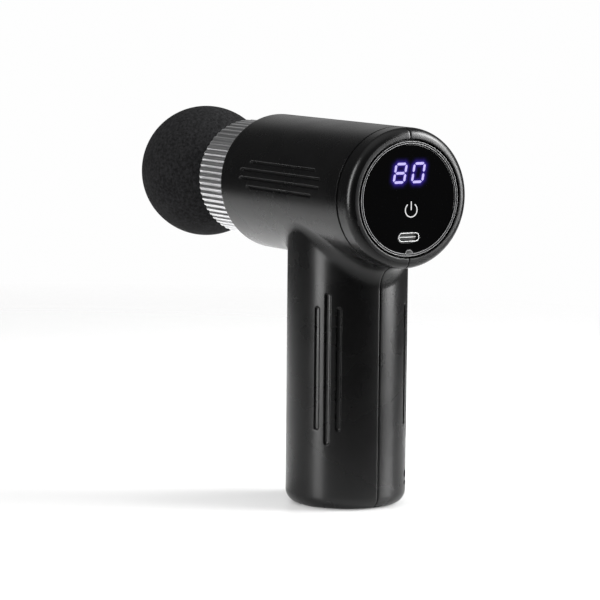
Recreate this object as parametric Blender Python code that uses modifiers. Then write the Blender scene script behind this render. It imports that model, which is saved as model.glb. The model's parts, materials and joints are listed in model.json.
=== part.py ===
"""Handheld massage gun: a round barrel on a round handle, with a foam ball on a reciprocating plunger.

Frame: metres, origin at the centre of the handle's flat base, +Z up the handle, +X along the
barrel to the display panel, so the ball points to -X. The two housing halves meet at Y = 0.
Drawn at rest with the plunger fully back, which is the crank's rear dead centre.
"""

import math

import bmesh
import bpy
from mathutils import Matrix, Vector

MM = 0.001
TAU = 2 * math.pi
GAP = 0.3 * MM  # between neighbours that touch
SINK = 0.15 * MM  # how far a joined form dips into its neighbour
FAR = 60 * MM  # beyond the outside of the object

# Barrel: axis along X at BARREL_HEIGHT
BARREL_RADIUS = 25.5 * MM
BARREL_HEIGHT = 116.0 * MM
BARREL_REAR = 41.06 * MM
BARREL_FRONT = -52.2 * MM
REAR_FILLET = 3.7 * MM
FRONT_FILLET = 3.0 * MM
RING_GROOVE_X = 32.2 * MM
RING_GROOVE = 0.5 * MM

# Handle: axis along Z through the origin
HANDLE_RADIUS = 22.3 * MM
BASE_FILLET = 4.75 * MM
NECK_FILLET = 9.0 * MM

# Shell walls and mouths
WALL = 2.2 * MM
FLOOR = 2.5 * MM
REAR_MOUTH = 21.5 * MM
REAR_LIP = 4.5 * MM
FRONT_MOUTH = 18.7 * MM
SHELL_STEPS = 48
FILLET_STEPS = 4

# Grooves in the shell: (middle, lowest, highest) along the groove's own axis
BARREL_GROOVE_RADIUS = 0.6 * MM
BARREL_GROOVE_ANGLES = [math.radians(-0.3 + 7.1 * k) for k in range(4)]
BARREL_GROOVE_ENDS = [(-31.5 * MM, 14.7 * MM), (-36.8 * MM, 19.8 * MM)]
HANDLE_GROOVE_RADIUS = 1.05 * MM
HANDLE_GROOVE_ANGLES = [math.radians(51.0 + 10.8 * k) for k in (-1, 0, 1)]
HANDLE_GROOVE_ENDS = [(29.3 * MM, 75.2 * MM), (24.1 * MM, 80.5 * MM)]

# Strap eyelet: two slots with a bar between them, on the right half
EYELET_ANGLE = math.radians(48)
EYELET_WIDTH = 3.4 * MM
EYELET_SLOTS = [(6.8 * MM, 8.7 * MM), (9.5 * MM, 12.6 * MM)]

# Nose
COLLAR_RADIUS = 22.1 * MM
COLLAR_BORE = 18.6 * MM
COLLAR_REAR = -52.5 * MM
COLLAR_FRONT = -73.3 * MM
COLLAR_RIBS = 60
RIB_DEPTH = 0.8 * MM
RIB_SHARE = 0.6  # of the pitch
SLEEVE_RADIUS = 18.3 * MM
SLEEVE_BORE = 16.4 * MM
SLEEVE_FRONT = -72.6 * MM
SEAL_RADIUS = 10.0 * MM

# Plunger, crank and rod
PISTON_RADIUS = 8.0 * MM
PISTON_FRONT = -76.0 * MM
PISTON_REAR = -17.0 * MM
SOCKET_RADIUS = 5.0 * MM
SOCKET_DEPTH = 21.0 * MM
BUSH_BORE = 8.2 * MM
BUSH_RADIUS = 9.6 * MM
THROW = 4.0 * MM
WRIST_X = -22.0 * MM
WRIST_PIN_RADIUS = 2.0 * MM
ROD_HALF = 3.0 * MM  # half its thickness
BIG_EYE = 8.5 * MM
SMALL_EYE = 4.8 * MM
BIG_BEARING = 6.2 * MM
CRANK_PIN_RADIUS = 3.0 * MM
WHEEL_BOTTOM = 105.6 * MM
WHEEL_TOP = 110.0 * MM
WHEEL_RADIUS = 10.0 * MM
COUNTERWEIGHT_RADIUS = 15.5 * MM

# Massage head
BALL_RADIUS = 25.7 * MM
BALL_X = -105.4 * MM
STEM_RADIUS = 4.7 * MM
STEM_CORE = 7.0 * MM
STEM_FLANGE = 10.0 * MM
BALL_STEPS = 28

# Drive frame and motor
PLATE_BOTTOM = 102.3 * MM
PLATE_TOP = 105.0 * MM
PLATE_RADIUS = 19.3 * MM
ARM_INNER = 17.0 * MM
ARM_OUTER = 19.1 * MM
ARM_TOP = 127.0 * MM
GUIDE_BORE = 9.9 * MM
GUIDE_RADIUS = 12.3 * MM
GUIDE_FRONT = -66.0 * MM
GUIDE_REAR = -28.0 * MM
MOTOR_RADIUS = 15.0 * MM
MOTOR_TOP = 102.0 * MM
MOTOR_BOTTOM = 82.0 * MM
SHAFT_RADIUS = 1.6 * MM
BEARING_RADIUS = 4.0 * MM
MOTOR_SCREW_Y = 10.0 * MM
DAMPER_LOW = 84.0 * MM
DAMPER_HIGH = 92.0 * MM

# Battery pack and control board
CELL_RADIUS = 9.15 * MM
CELL_X = 9.35 * MM
CELL_BOTTOM = 6.7 * MM
CELL_LENGTH = 65.0 * MM
HOLDER_RADIUS = 9.9 * MM
HOLDER_THICKNESS = 3.0 * MM
STRIP = 0.3 * MM
BOARD_Y = 12.0 * MM
BOARD_THICKNESS = 1.2 * MM

# Rear panel
LENS_RADIUS = 19.45 * MM
LENS_REAR = 40.8 * MM  # its outer face
LENS_THICKNESS = 1.2 * MM
TRIM_INNER = 19.75 * MM
TRIM_RADIUS = 20.7 * MM
TRIM_REAR = 41.0 * MM
TAB_RADIUS = 1.6 * MM
TAB_DROP = 19.9 * MM  # below the barrel axis
CARRIER_RADIUS = 21.2 * MM
DISPLAY_BOARD_X = 33.9 * MM
DISPLAY_BOARD_THICKNESS = 1.6 * MM
DIGITS_CENTRE = (-0.55 * MM, 9.3 * MM)  # (y, height over the barrel axis)
POWER_CENTRE = (0.75 * MM, -4.06 * MM)
USB_DROP = 13.85 * MM
USB_WIDTH = 8.94 * MM
USB_HEIGHT = 3.26 * MM
USB_SHEET = 0.3 * MM
POST_RADIUS = 2.2 * MM
POST_CIRCLE = 17.2 * MM
POST_ANGLES = [math.radians(a) for a in (20, 90, 160)]

# Finishes: (colour, roughness, metallic)
BLACK_PLASTIC = ((0.018, 0.018, 0.019), 0.42, 0.0)
DARK_PLASTIC = ((0.03, 0.03, 0.032), 0.6, 0.0)
BLACK_GLASS = ((0.004, 0.004, 0.005), 0.06, 0.0)
GREY_TRIM = ((0.20, 0.20, 0.21), 0.35, 0.6)
ALUMINIUM = ((0.75, 0.75, 0.76), 0.32, 1.0)
CAST_METAL = ((0.48, 0.48, 0.49), 0.55, 1.0)
STEEL = ((0.56, 0.56, 0.57), 0.3, 1.0)
BRASS = ((0.75, 0.55, 0.24), 0.35, 1.0)
COPPER = ((0.72, 0.36, 0.2), 0.4, 1.0)
NICKEL = ((0.68, 0.66, 0.62), 0.3, 1.0)
FOAM = ((0.02, 0.02, 0.021), 0.95, 0.0)
RUBBER = ((0.035, 0.035, 0.035), 0.85, 0.0)
BOARD_GREEN = ((0.02, 0.16, 0.07), 0.5, 0.0)
CELL_WRAP = ((0.05, 0.2, 0.45), 0.4, 0.0)
WHITE_PLASTIC = ((0.75, 0.75, 0.73), 0.5, 0.0)
RED_WIRE = ((0.5, 0.02, 0.02), 0.5, 0.0)
BLACK_WIRE = ((0.02, 0.02, 0.02), 0.5, 0.0)

AXIS_TURN = {"X": (0, math.pi / 2, 0), "Z": (0, 0, 0)}
ON_BARREL_AXIS = (0, 0, BARREL_HEIGHT)
ON_HANDLE_AXIS = (0, 0, 0)


# ---------------------------------------------------------------- building blocks


def clear_scene():
    for obj in list(bpy.data.objects):
        bpy.data.objects.remove(obj)


def new_collection(name):
    made = bpy.data.collections.new(name)
    bpy.context.scene.collection.children.link(made)
    return made


def new_material(name, finish):
    colour, roughness, metallic = finish
    made = bpy.data.materials.new(name)
    made.use_nodes = True
    shader = made.node_tree.nodes["Principled BSDF"]
    shader.inputs["Base Color"].default_value = (*colour, 1)
    shader.inputs["Roughness"].default_value = roughness
    shader.inputs["Metallic"].default_value = metallic
    made.diffuse_color = (*colour, 1)
    return made


def add(name, data, finish):
    """Links data as an object: a piece with its own material, or a helper when finish is None."""
    obj = bpy.data.objects.new(name, data)
    if finish:
        data.materials.append(new_material(name, finish))
        bpy.data.collections["massage_gun"].objects.link(obj)
    else:
        obj.hide_render = True
        obj.display_type = "WIRE"
        bpy.data.collections["cutters"].objects.link(obj)
    return obj


def from_bmesh(name, bm, finish):
    mesh = bpy.data.meshes.new(name)
    bm.to_mesh(mesh)
    bm.free()
    return add(name, mesh, finish)


def turned(name, outline, finish=None, axis="X", centre=None, steps=20, ring=False):
    """Solid of revolution. outline is (radius, height) pairs down the outer side; a ring's
    outline is closed, and a solid one starts and ends on the axis. The height is X or Z."""
    mesh = bpy.data.meshes.new(name)
    points = [(radius, 0, height) for radius, height in outline]
    edges = [(i, i + 1) for i in range(len(points) - 1)]
    if ring:
        edges.append((len(points) - 1, 0))
    mesh.from_pydata(points, edges, [])
    obj = add(name, mesh, finish)
    if centre is None:
        centre = ON_BARREL_AXIS if axis == "X" else ON_HANDLE_AXIS
    obj.location = centre
    obj.rotation_euler = AXIS_TURN[axis]
    screw = obj.modifiers.new("Turn", "SCREW")
    screw.steps = screw.render_steps = steps
    screw.use_merge_vertices = True
    screw.merge_threshold = 0.00001
    return obj


def disc_outline(radius, low, high):
    return [(0, high), (radius, high), (radius, low), (0, low)]


def ring_outline(bore, radius, low, high):
    return [(radius, high), (radius, low), (bore, low), (bore, high)]


def cylinder(name, radius, low, high, finish=None, axis="Z", centre=None, steps=20):
    return turned(name, disc_outline(radius, low, high), finish, axis, centre, steps)


def bush(name, bore, radius, low, high, finish=None, axis="Z", centre=None, steps=20):
    outline = ring_outline(bore, radius, low, high)
    return turned(name, outline, finish, axis, centre, steps, ring=True)


def box(name, low, high, finish=None, turn=0.0):
    """Box between two corners, which may then turn about the Z axis."""
    bm = bmesh.new()
    bmesh.ops.create_cube(bm, size=1)
    low, high = Vector(low), Vector(high)
    bmesh.ops.scale(bm, vec=high - low, verts=bm.verts)
    bmesh.ops.translate(bm, vec=(low + high) / 2, verts=bm.verts)
    bmesh.ops.rotate(bm, matrix=Matrix.Rotation(turn, 3, "Z"), verts=bm.verts)
    return from_bmesh(name, bm, finish)


def plate(name, outlines, low, high, finish=None, axis="Z", centre=(0, 0, 0)):
    """Flat plate from closed outlines, the first its edge and the others its holes. The points
    are (x, y) on the Z axis, and (y, z) on the X axis."""
    curve = bpy.data.curves.new(name, "CURVE")
    curve.dimensions = "2D"
    curve.fill_mode = "BOTH"
    curve.extrude = (high - low) / 2
    for outline in outlines:
        spline = curve.splines.new("POLY")
        spline.points.add(len(outline) - 1)
        spline.use_cyclic_u = True
        for point, (a, b) in zip(spline.points, outline):
            point.co = (a, b, 0, 1) if axis == "Z" else (-b, a, 0, 1)
    drawn = add(name + "_outline", curve, None)
    bpy.context.view_layer.update()
    graph = bpy.context.evaluated_depsgraph_get()
    mesh = bpy.data.meshes.new_from_object(drawn.evaluated_get(graph))
    bm = bmesh.new()
    bm.from_mesh(mesh)
    bmesh.ops.remove_doubles(bm, verts=bm.verts, dist=0.000001)
    bmesh.ops.recalc_face_normals(bm, faces=bm.faces)
    bm.to_mesh(mesh)
    bm.free()
    bpy.data.objects.remove(drawn)
    mesh.name = name
    obj = add(name, mesh, finish)
    middle = (low + high) / 2
    along = Vector((middle, 0, 0)) if axis == "X" else Vector((0, 0, middle))
    obj.location = Vector(centre) + along
    obj.rotation_euler = AXIS_TURN[axis]
    return obj


def wire(name, points, radius, finish, sides=1, smooth=True):
    """Round lead along a smooth curve through points; its ends are capped."""
    route = spline_through(points) if smooth else [Vector(p) for p in points]
    curve = bpy.data.curves.new(name, "CURVE")
    curve.dimensions = "3D"
    curve.bevel_depth = radius
    curve.bevel_resolution = sides
    curve.use_fill_caps = True
    spline = curve.splines.new("POLY")
    spline.points.add(len(route) - 1)
    for point, place in zip(spline.points, route):
        point.co = (*place, 1)
    return add(name, curve, finish)


def spline_through(points, per_span=2):
    """Catmull-Rom curve through points, with its end tangents along the end spans."""
    p = [Vector(q) for q in points]
    p = [2 * p[0] - p[1], *p, 2 * p[-1] - p[-2]]
    route = []
    for i in range(1, len(p) - 2):
        for k in range(per_span):
            t = k / per_span
            a, b, c, d = p[i - 1], p[i], p[i + 1], p[i + 2]
            bend = 2 * a - 5 * b + 4 * c - d
            twist = 3 * b - a - 3 * c + d
            route.append(b + (t * (c - a) + t * t * bend + t**3 * twist) / 2)
    route.append(p[-2])
    return route


def boolean(target, other, operation):
    modifier = target.modifiers.new(other.name, "BOOLEAN")
    modifier.operation = operation
    modifier.solver = "EXACT"
    modifier.object = other


def cut(target, *cutters):
    for cutter in cutters:
        boolean(target, cutter, "DIFFERENCE")


def join(target, *others):
    for other in others:
        boolean(target, other, "UNION")


def arc(centre, radius, start, end, steps):
    """Points on an arc, with its angles in radians, from start to end."""
    turns = [start + (end - start) * k / steps for k in range(steps + 1)]
    return [(centre[0] + radius * math.cos(t), centre[1] + radius * math.sin(t)) for t in turns]


def circle(centre, radius, steps):
    return arc(centre, radius, 0, TAU, steps)[:-1]


def stadium(centre, half_length, radius, steps):
    """Racetrack outline, long along its first axis; half_length is to the end arcs' centres."""
    x, y = centre
    right = arc((x + half_length, y), radius, -math.pi / 2, math.pi / 2, steps)
    left = arc((x - half_length, y), radius, math.pi / 2, 1.5 * math.pi, steps)
    return right + left


# ---------------------------------------------------------------- housing


def barrel_outline():
    rear_flat = BARREL_RADIUS - REAR_FILLET
    front_flat = BARREL_RADIUS - FRONT_FILLET
    quarter = math.pi / 2
    rear = arc((rear_flat, BARREL_REAR - REAR_FILLET), REAR_FILLET, quarter, 0, FILLET_STEPS)
    front = arc((front_flat, BARREL_FRONT + FRONT_FILLET), FRONT_FILLET, 0, -quarter, FILLET_STEPS)
    groove = [
        (BARREL_RADIUS, RING_GROOVE_X + RING_GROOVE / 2),
        (BARREL_RADIUS - RING_GROOVE, RING_GROOVE_X),
        (BARREL_RADIUS, RING_GROOVE_X - RING_GROOVE / 2),
    ]
    return [(0, BARREL_REAR), *rear, *groove, *front, (0, BARREL_FRONT)]


def handle_outline():
    flat = HANDLE_RADIUS - BASE_FILLET
    base = arc((flat, BASE_FILLET), BASE_FILLET, 0, -math.pi / 2, FILLET_STEPS)
    return [(0, BARREL_HEIGHT), (HANDLE_RADIUS, BARREL_HEIGHT), *base, (0, 0)]


def neck_fillet():
    """The fillet that a ball of NECK_FILLET radius leaves as it rolls round the joint of barrel
    and handle: a closed ring whose edges sink into both."""
    rolling = HANDLE_RADIUS + NECK_FILLET
    bm = bmesh.new()
    sections = []
    for i in range(SHELL_STEPS):
        turn = TAU * i / SHELL_STEPS
        outward = Vector((math.cos(turn), math.sin(turn), 0))
        side = rolling * outward.y
        drop = math.sqrt((BARREL_RADIUS + NECK_FILLET) ** 2 - side**2)
        centre = rolling * outward + Vector((0, 0, BARREL_HEIGHT - drop))
        to_barrel = Vector((0, -side, drop)).normalized()
        section = []
        for k in range(FILLET_STEPS + 1):
            sink = SINK if k in (0, FILLET_STEPS) else 0
            direction = (-outward).slerp(to_barrel, k / FILLET_STEPS)
            section.append(centre + (NECK_FILLET + sink) * direction)
        root = (HANDLE_RADIUS - WALL) * outward
        root.z = section[-1].z + WALL
        sections.append([bm.verts.new(p) for p in (*section, root)])
    for here, following in zip(sections, sections[1:] + sections[:1]):
        for k in range(len(here)):
            nearby = (k + 1) % len(here)
            bm.faces.new((here[k], here[nearby], following[nearby], following[k]))
    bmesh.ops.recalc_face_normals(bm, faces=bm.faces)
    return from_bmesh("neck_fillet", bm, None)


def shell_body():
    """Barrel and handle in one hollow body, which the seam then divides."""
    body = turned("shell_body", barrel_outline(), steps=SHELL_STEPS)
    handle = turned("shell_handle", handle_outline(), axis="Z", steps=SHELL_STEPS)
    bore = BARREL_RADIUS - WALL
    chamber = [
        (0, FAR),
        (REAR_MOUTH, FAR),
        (REAR_MOUTH, BARREL_REAR - REAR_LIP),
        (bore, BARREL_REAR - REAR_LIP),
        (bore, BARREL_FRONT + WALL),
        (FRONT_MOUTH, BARREL_FRONT + WALL),
        (FRONT_MOUTH, -FAR),
        (0, -FAR),
    ]
    barrel_chamber = turned("barrel_chamber", chamber, steps=SHELL_STEPS)
    well = HANDLE_RADIUS - WALL
    handle_chamber = cylinder("handle_chamber", well, FLOOR, BARREL_HEIGHT, steps=SHELL_STEPS)
    join(body, handle, neck_fillet())
    cut(body, barrel_chamber, handle_chamber)
    return body


def groove_cutters(side):
    """Rods that press the grooves into one half; side is -1 for left and 1 for right."""
    made = []
    for k, angle in enumerate(BARREL_GROOVE_ANGLES):
        low, high = BARREL_GROOVE_ENDS[k in (1, 2)]
        y = side * BARREL_RADIUS * math.cos(angle)
        centre = (0, y, BARREL_HEIGHT + BARREL_RADIUS * math.sin(angle))
        name = f"barrel_groove_{k}_{side}"
        rod = cylinder(name, BARREL_GROOVE_RADIUS, low, high, axis="X", centre=centre, steps=8)
        made.append(rod)
    for k, angle in enumerate(HANDLE_GROOVE_ANGLES):
        low, high = HANDLE_GROOVE_ENDS[k == 1]
        x = HANDLE_RADIUS * math.cos(angle)
        centre = (x, side * HANDLE_RADIUS * math.sin(angle), 0)
        name = f"handle_groove_{k}_{side}"
        rod = cylinder(name, HANDLE_GROOVE_RADIUS, low, high, centre=centre, steps=8)
        made.append(rod)
    return made


def eyelet_cutters():
    made = []
    for low, high in EYELET_SLOTS:
        inner = (HANDLE_RADIUS - 2 * WALL, -EYELET_WIDTH / 2, low)
        outer = (HANDLE_RADIUS + WALL, EYELET_WIDTH / 2, high)
        made.append(box(f"eyelet_slot_{len(made)}", inner, outer, turn=EYELET_ANGLE))
    return made


def build_housing():
    body = shell_body()
    seam = GAP / 2
    reach = 2 * BARREL_HEIGHT
    left = box("left_housing", (-reach, -FAR, -FAR), (reach, -seam, reach), BLACK_PLASTIC)
    right = box("right_housing", (-reach, seam, -FAR), (reach, FAR, reach), BLACK_PLASTIC)
    for half, side in ((left, -1), (right, 1)):
        boolean(half, body, "INTERSECT")
        cut(half, *groove_cutters(side))
    cut(right, *eyelet_cutters())


# ---------------------------------------------------------------- nose and massage head


def ribbed_outline():
    """Edge of the collar: COLLAR_RIBS flat-topped ribs with V-shaped valleys."""
    points = []
    for k in range(COLLAR_RIBS):
        middle = TAU * k / COLLAR_RIBS
        half = TAU / COLLAR_RIBS * RIB_SHARE / 2
        foot = TAU / COLLAR_RIBS * (1 + RIB_SHARE) / 4
        for turn, radius in (
            (middle - half, COLLAR_RADIUS),
            (middle + half, COLLAR_RADIUS),
            (middle + foot, COLLAR_RADIUS - RIB_DEPTH),
        ):
            points.append((radius * math.cos(turn), radius * math.sin(turn)))
    return points


def build_nose():
    outlines = [ribbed_outline(), circle((0, 0), COLLAR_BORE, 48)]
    plate("nose_collar", outlines, COLLAR_FRONT, COLLAR_REAR, ALUMINIUM, "X", ON_BARREL_AXIS)
    flange = BARREL_RADIUS - WALL - 6 * GAP
    flange_front = BARREL_FRONT + WALL + GAP
    flange_rear = flange_front + 2.5 * MM
    lip_rear = SLEEVE_FRONT + WALL
    sleeve = [
        (flange, flange_rear),
        (flange, flange_front),
        (SLEEVE_RADIUS, flange_front),
        (SLEEVE_RADIUS, SLEEVE_FRONT),
        (SEAL_RADIUS + GAP, SLEEVE_FRONT),
        (SEAL_RADIUS + GAP, lip_rear),
        (SLEEVE_BORE, lip_rear),
        (SLEEVE_BORE, flange_rear),
    ]
    turned("nose_sleeve", sleeve, DARK_PLASTIC, steps=24, ring=True)
    seal = [
        (SEAL_RADIUS + WALL, lip_rear + 6 * GAP),
        (SEAL_RADIUS + WALL, lip_rear + GAP),
        (SEAL_RADIUS, lip_rear + GAP),
        (SEAL_RADIUS, SLEEVE_FRONT),
        (PISTON_RADIUS + GAP, SLEEVE_FRONT),
        (PISTON_RADIUS + GAP, lip_rear + 6 * GAP),
    ]
    turned("wiper_seal", seal, RUBBER, ring=True)


def build_massage_head():
    stem_tip = PISTON_FRONT + SOCKET_DEPTH - 3 * MM
    flange_rear = PISTON_FRONT - GAP
    flange_front = flange_rear - 3 * MM
    core_front = flange_front - 17.4 * MM
    stem = [(0, stem_tip), (STEM_RADIUS, stem_tip)]
    ring_width = 1.2 * MM
    for k, middle in enumerate((stem_tip - 5 * MM, stem_tip - 12 * MM)):
        groove = ring_width / 2 + GAP
        groove_floor = 3.7 * MM
        stem += [
            (STEM_RADIUS, middle + groove),
            (groove_floor, middle + groove),
            (groove_floor, middle - groove),
            (STEM_RADIUS, middle - groove),
        ]
        low, high = middle - ring_width / 2, middle + ring_width / 2
        outer = SOCKET_RADIUS - SINK
        bush(f"stem_ring_{k + 1}", groove_floor + GAP, outer, low, high, RUBBER, "X")
    stem += [
        (STEM_RADIUS, flange_rear),
        (STEM_FLANGE, flange_rear),
        (STEM_FLANGE, flange_front),
        (STEM_CORE, flange_front),
        (STEM_CORE, core_front),
        (0, core_front),
    ]
    turned("ball_stem", stem, DARK_PLASTIC)

    bore = STEM_CORE + GAP
    mouth = math.asin(bore / BALL_RADIUS)
    count = BALL_STEPS // 2
    surface = arc((0, BALL_X), BALL_RADIUS, math.pi / 2 - mouth, -math.pi / 2, count)
    bore_end = core_front - GAP
    surface[-1] = (0, BALL_X - BALL_RADIUS)
    ball = [(0, bore_end), (bore, bore_end), *surface]
    turned("ball_head", ball, FOAM, steps=BALL_STEPS)


# ---------------------------------------------------------------- plunger, rod and crank


def build_piston():
    piston = cylinder("piston", PISTON_RADIUS, PISTON_FRONT, PISTON_REAR, STEEL, "X", steps=24)
    socket_end = PISTON_FRONT + SOCKET_DEPTH
    socket = cylinder("piston_socket", SOCKET_RADIUS, -2 * FAR, socket_end, axis="X")
    slot_half = ROD_HALF + 0.4 * MM
    slot_low = (WRIST_X - SMALL_EYE - 1.7 * MM, -FAR, BARREL_HEIGHT - slot_half)
    slot_high = (FAR, FAR, BARREL_HEIGHT + slot_half)
    slot = box("piston_slot", slot_low, slot_high)
    at_wrist = (WRIST_X, 0, BARREL_HEIGHT)
    pin_hole = cylinder("piston_pin_hole", WRIST_PIN_RADIUS + GAP, -FAR, FAR, centre=at_wrist)
    cut(piston, socket, slot, pin_hole)
    pin_half = PISTON_RADIUS - 0.6 * MM
    cylinder("wrist_pin", WRIST_PIN_RADIUS, -pin_half, pin_half, STEEL, centre=at_wrist, steps=16)


def link_outline(x_small, r_small, x_big, r_big, steps):
    """Two eyes joined by their outer tangents, along X."""
    tilt = math.acos((r_big - r_small) / (x_big - x_small))
    big = arc((x_big, 0), r_big, -math.pi + tilt, math.pi - tilt, steps)
    small = arc((x_small, 0), r_small, math.pi - tilt, math.pi + tilt, steps // 2)
    return big + small


def build_rod():
    edge = link_outline(WRIST_X, SMALL_EYE, THROW, BIG_EYE, 20)
    bush_radius = WRIST_PIN_RADIUS + 1.2 * MM
    big_hole = circle((THROW, 0), BIG_BEARING + GAP, 24)
    small_hole = circle((WRIST_X, 0), bush_radius + GAP, 16)
    low, high = BARREL_HEIGHT - ROD_HALF, BARREL_HEIGHT + ROD_HALF
    plate("connecting_rod", [edge, big_hole, small_hole], low, high, CAST_METAL)
    at_crank, at_wrist = (THROW, 0, 0), (WRIST_X, 0, 0)
    low, high = low + GAP, high - GAP
    bore = CRANK_PIN_RADIUS + GAP
    bush("big_end_bearing", bore, BIG_BEARING, low, high, STEEL, centre=at_crank)
    bore = WRIST_PIN_RADIUS + GAP
    bush("small_end_bush", bore, bush_radius, low, high, BRASS, centre=at_wrist, steps=16)
    collar = CRANK_PIN_RADIUS + 1.4 * MM
    pin_top = BARREL_HEIGHT + ROD_HALF + 2 * GAP
    collar_top = BARREL_HEIGHT - ROD_HALF - GAP
    pin = [
        (0, pin_top),
        (CRANK_PIN_RADIUS, pin_top),
        (CRANK_PIN_RADIUS, collar_top),
        (collar, collar_top),
        (collar, WHEEL_TOP + GAP),
        (0, WHEEL_TOP + GAP),
    ]
    turned("crank_pin", pin, STEEL, "Z", at_crank, steps=16)


def build_rotor():
    half = math.radians(75)
    weight = arc((0, 0), COUNTERWEIGHT_RADIUS, math.pi - half, math.pi + half, 12)
    light = arc((0, 0), WHEEL_RADIUS, half - math.pi, math.pi - half, 16)
    hole = circle((0, 0), SHAFT_RADIUS + GAP, 16)
    plate("crank_wheel", [weight + light, hole], WHEEL_BOTTOM, WHEEL_TOP, STEEL)
    shaft_low = MOTOR_BOTTOM - 3.4 * MM
    cylinder("motor_shaft", SHAFT_RADIUS, shaft_low, WHEEL_TOP - GAP, STEEL, steps=16)
    low, high = MOTOR_BOTTOM + 2.5 * MM, MOTOR_TOP - 4.5 * MM
    bush("motor_rotor", SHAFT_RADIUS + GAP, 8.2 * MM, low, high, DARK_PLASTIC)


# ---------------------------------------------------------------- motor and drive frame


def screw(name, head, shank, places, finish=STEEL, axis="Z", centre=None):
    """Cap screw. places are the outer face of its head, the underside, and the tip; the tip is
    above the head when the screw points up its axis."""
    top, under, tip = places
    outline = [(0, top), (head, top), (head, under), (shank, under), (shank, tip), (0, tip)]
    if tip > top:
        outline.reverse()
    return turned(name, outline, finish, axis, centre, steps=12)


def build_motor():
    wall = 1.1 * MM
    cap = 1.5 * MM
    seat = BEARING_RADIUS + GAP
    case = [
        (MOTOR_RADIUS, MOTOR_TOP),
        (MOTOR_RADIUS, MOTOR_BOTTOM),
        (MOTOR_RADIUS - wall, MOTOR_BOTTOM),
        (MOTOR_RADIUS - wall, MOTOR_TOP - cap),
        (seat, MOTOR_TOP - cap),
        (seat, MOTOR_TOP),
    ]
    body = turned("motor_case", case, STEEL, "Z", steps=24, ring=True)
    end_high = MOTOR_BOTTOM - GAP
    end_low = end_high - 2.7 * MM
    bush("motor_end_cap", seat, MOTOR_RADIUS, end_low, end_high, DARK_PLASTIC, steps=24)
    inner = SHAFT_RADIUS + GAP
    low, high = MOTOR_TOP - 2.8 * MM, MOTOR_TOP - 0.1 * MM
    bush("motor_bearing_top", inner, BEARING_RADIUS, low, high, STEEL)
    low, high = end_low + 0.2 * MM, end_high - 0.2 * MM
    bush("motor_bearing_bottom", inner, BEARING_RADIUS, low, high, STEEL)
    low, high = MOTOR_BOTTOM + 2.5 * MM, MOTOR_TOP - 4.5 * MM
    bush("motor_stator", 8.8 * MM, MOTOR_RADIUS - wall - GAP, low, high, COPPER)

    ring = bush("damper_motor", MOTOR_RADIUS + GAP, HANDLE_RADIUS - WALL - GAP,
                DAMPER_LOW, DAMPER_HIGH, RUBBER, steps=32)
    notch_low = (MOTOR_RADIUS - WALL, -WALL, DAMPER_LOW - WALL)
    notch_high = (FAR, WALL, DAMPER_HIGH + WALL)
    cut(ring, box("damper_notch", notch_low, notch_high, turn=math.radians(44.5)))

    head, shank = 2.4 * MM, 1.2 * MM
    places = (PLATE_TOP, PLATE_TOP - 1.6 * MM, MOTOR_TOP - 2 * MM)
    for k, y in enumerate((-MOTOR_SCREW_Y, MOTOR_SCREW_Y)):
        place = (0, y, 0)
        screw(f"motor_screw_{k + 1}", head, shank, places, centre=place)
        hole = cylinder(f"case_screw_hole_{k}", shank + GAP, 0, FAR * 3, centre=place, steps=12)
        cut(body, hole)


def build_drive_frame():
    frame = cylinder("drive_frame", PLATE_RADIUS, PLATE_BOTTOM, PLATE_TOP, CAST_METAL, steps=32)
    arm_low = PLATE_TOP - 0.5 * MM
    front, rear = GUIDE_REAR - 2.5 * MM, 10 * MM
    for side in (-1, 1):
        y = sorted((side * ARM_INNER, side * ARM_OUTER))
        arm = box(f"frame_arm_{side}", (front, y[0], arm_low), (rear, y[1], ARM_TOP))
        join(frame, arm)
    bulkhead_low = (front + SINK, -ARM_OUTER + SINK, arm_low + SINK)
    bulkhead_high = (GUIDE_REAR - SINK, ARM_OUTER - SINK, ARM_TOP - SINK)
    bulkhead = box("frame_bulkhead", bulkhead_low, bulkhead_high)
    guide = cylinder("frame_guide", GUIDE_RADIUS, GUIDE_FRONT, GUIDE_REAR - 1 * MM, axis="X")
    bore = cylinder("frame_bore", GUIDE_BORE, -2 * FAR, GUIDE_REAR + WALL, axis="X")
    join(frame, bulkhead, guide)
    cut(frame, bore, cylinder("frame_shaft_hole", 5 * MM, 0, 3 * FAR))
    for k, y in enumerate((-MOTOR_SCREW_Y, MOTOR_SCREW_Y)):
        place = (0, y, 0)
        shank = cylinder(f"frame_screw_hole_{k}", 1.5 * MM, 0, 3 * FAR, centre=place, steps=12)
        seat = PLATE_TOP - 1.9 * MM
        sunk = cylinder(f"frame_screw_seat_{k}", 2.7 * MM, seat, 3 * FAR, centre=place, steps=12)
        cut(frame, shank, sunk)
    bush_wall = (BUSH_BORE, BUSH_RADIUS)
    bush("guide_bush_front", *bush_wall, GUIDE_FRONT + 0.5 * MM, -57.5 * MM, BRASS, "X")
    bush("guide_bush_rear", *bush_wall, -40 * MM, -32 * MM, BRASS, "X")
    inner, outer = GUIDE_RADIUS + GAP, SLEEVE_BORE - GAP
    bush("damper_front", inner, outer, GUIDE_FRONT + 2 * MM, -56 * MM, RUBBER, "X")


# ---------------------------------------------------------------- battery pack and control board


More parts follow.
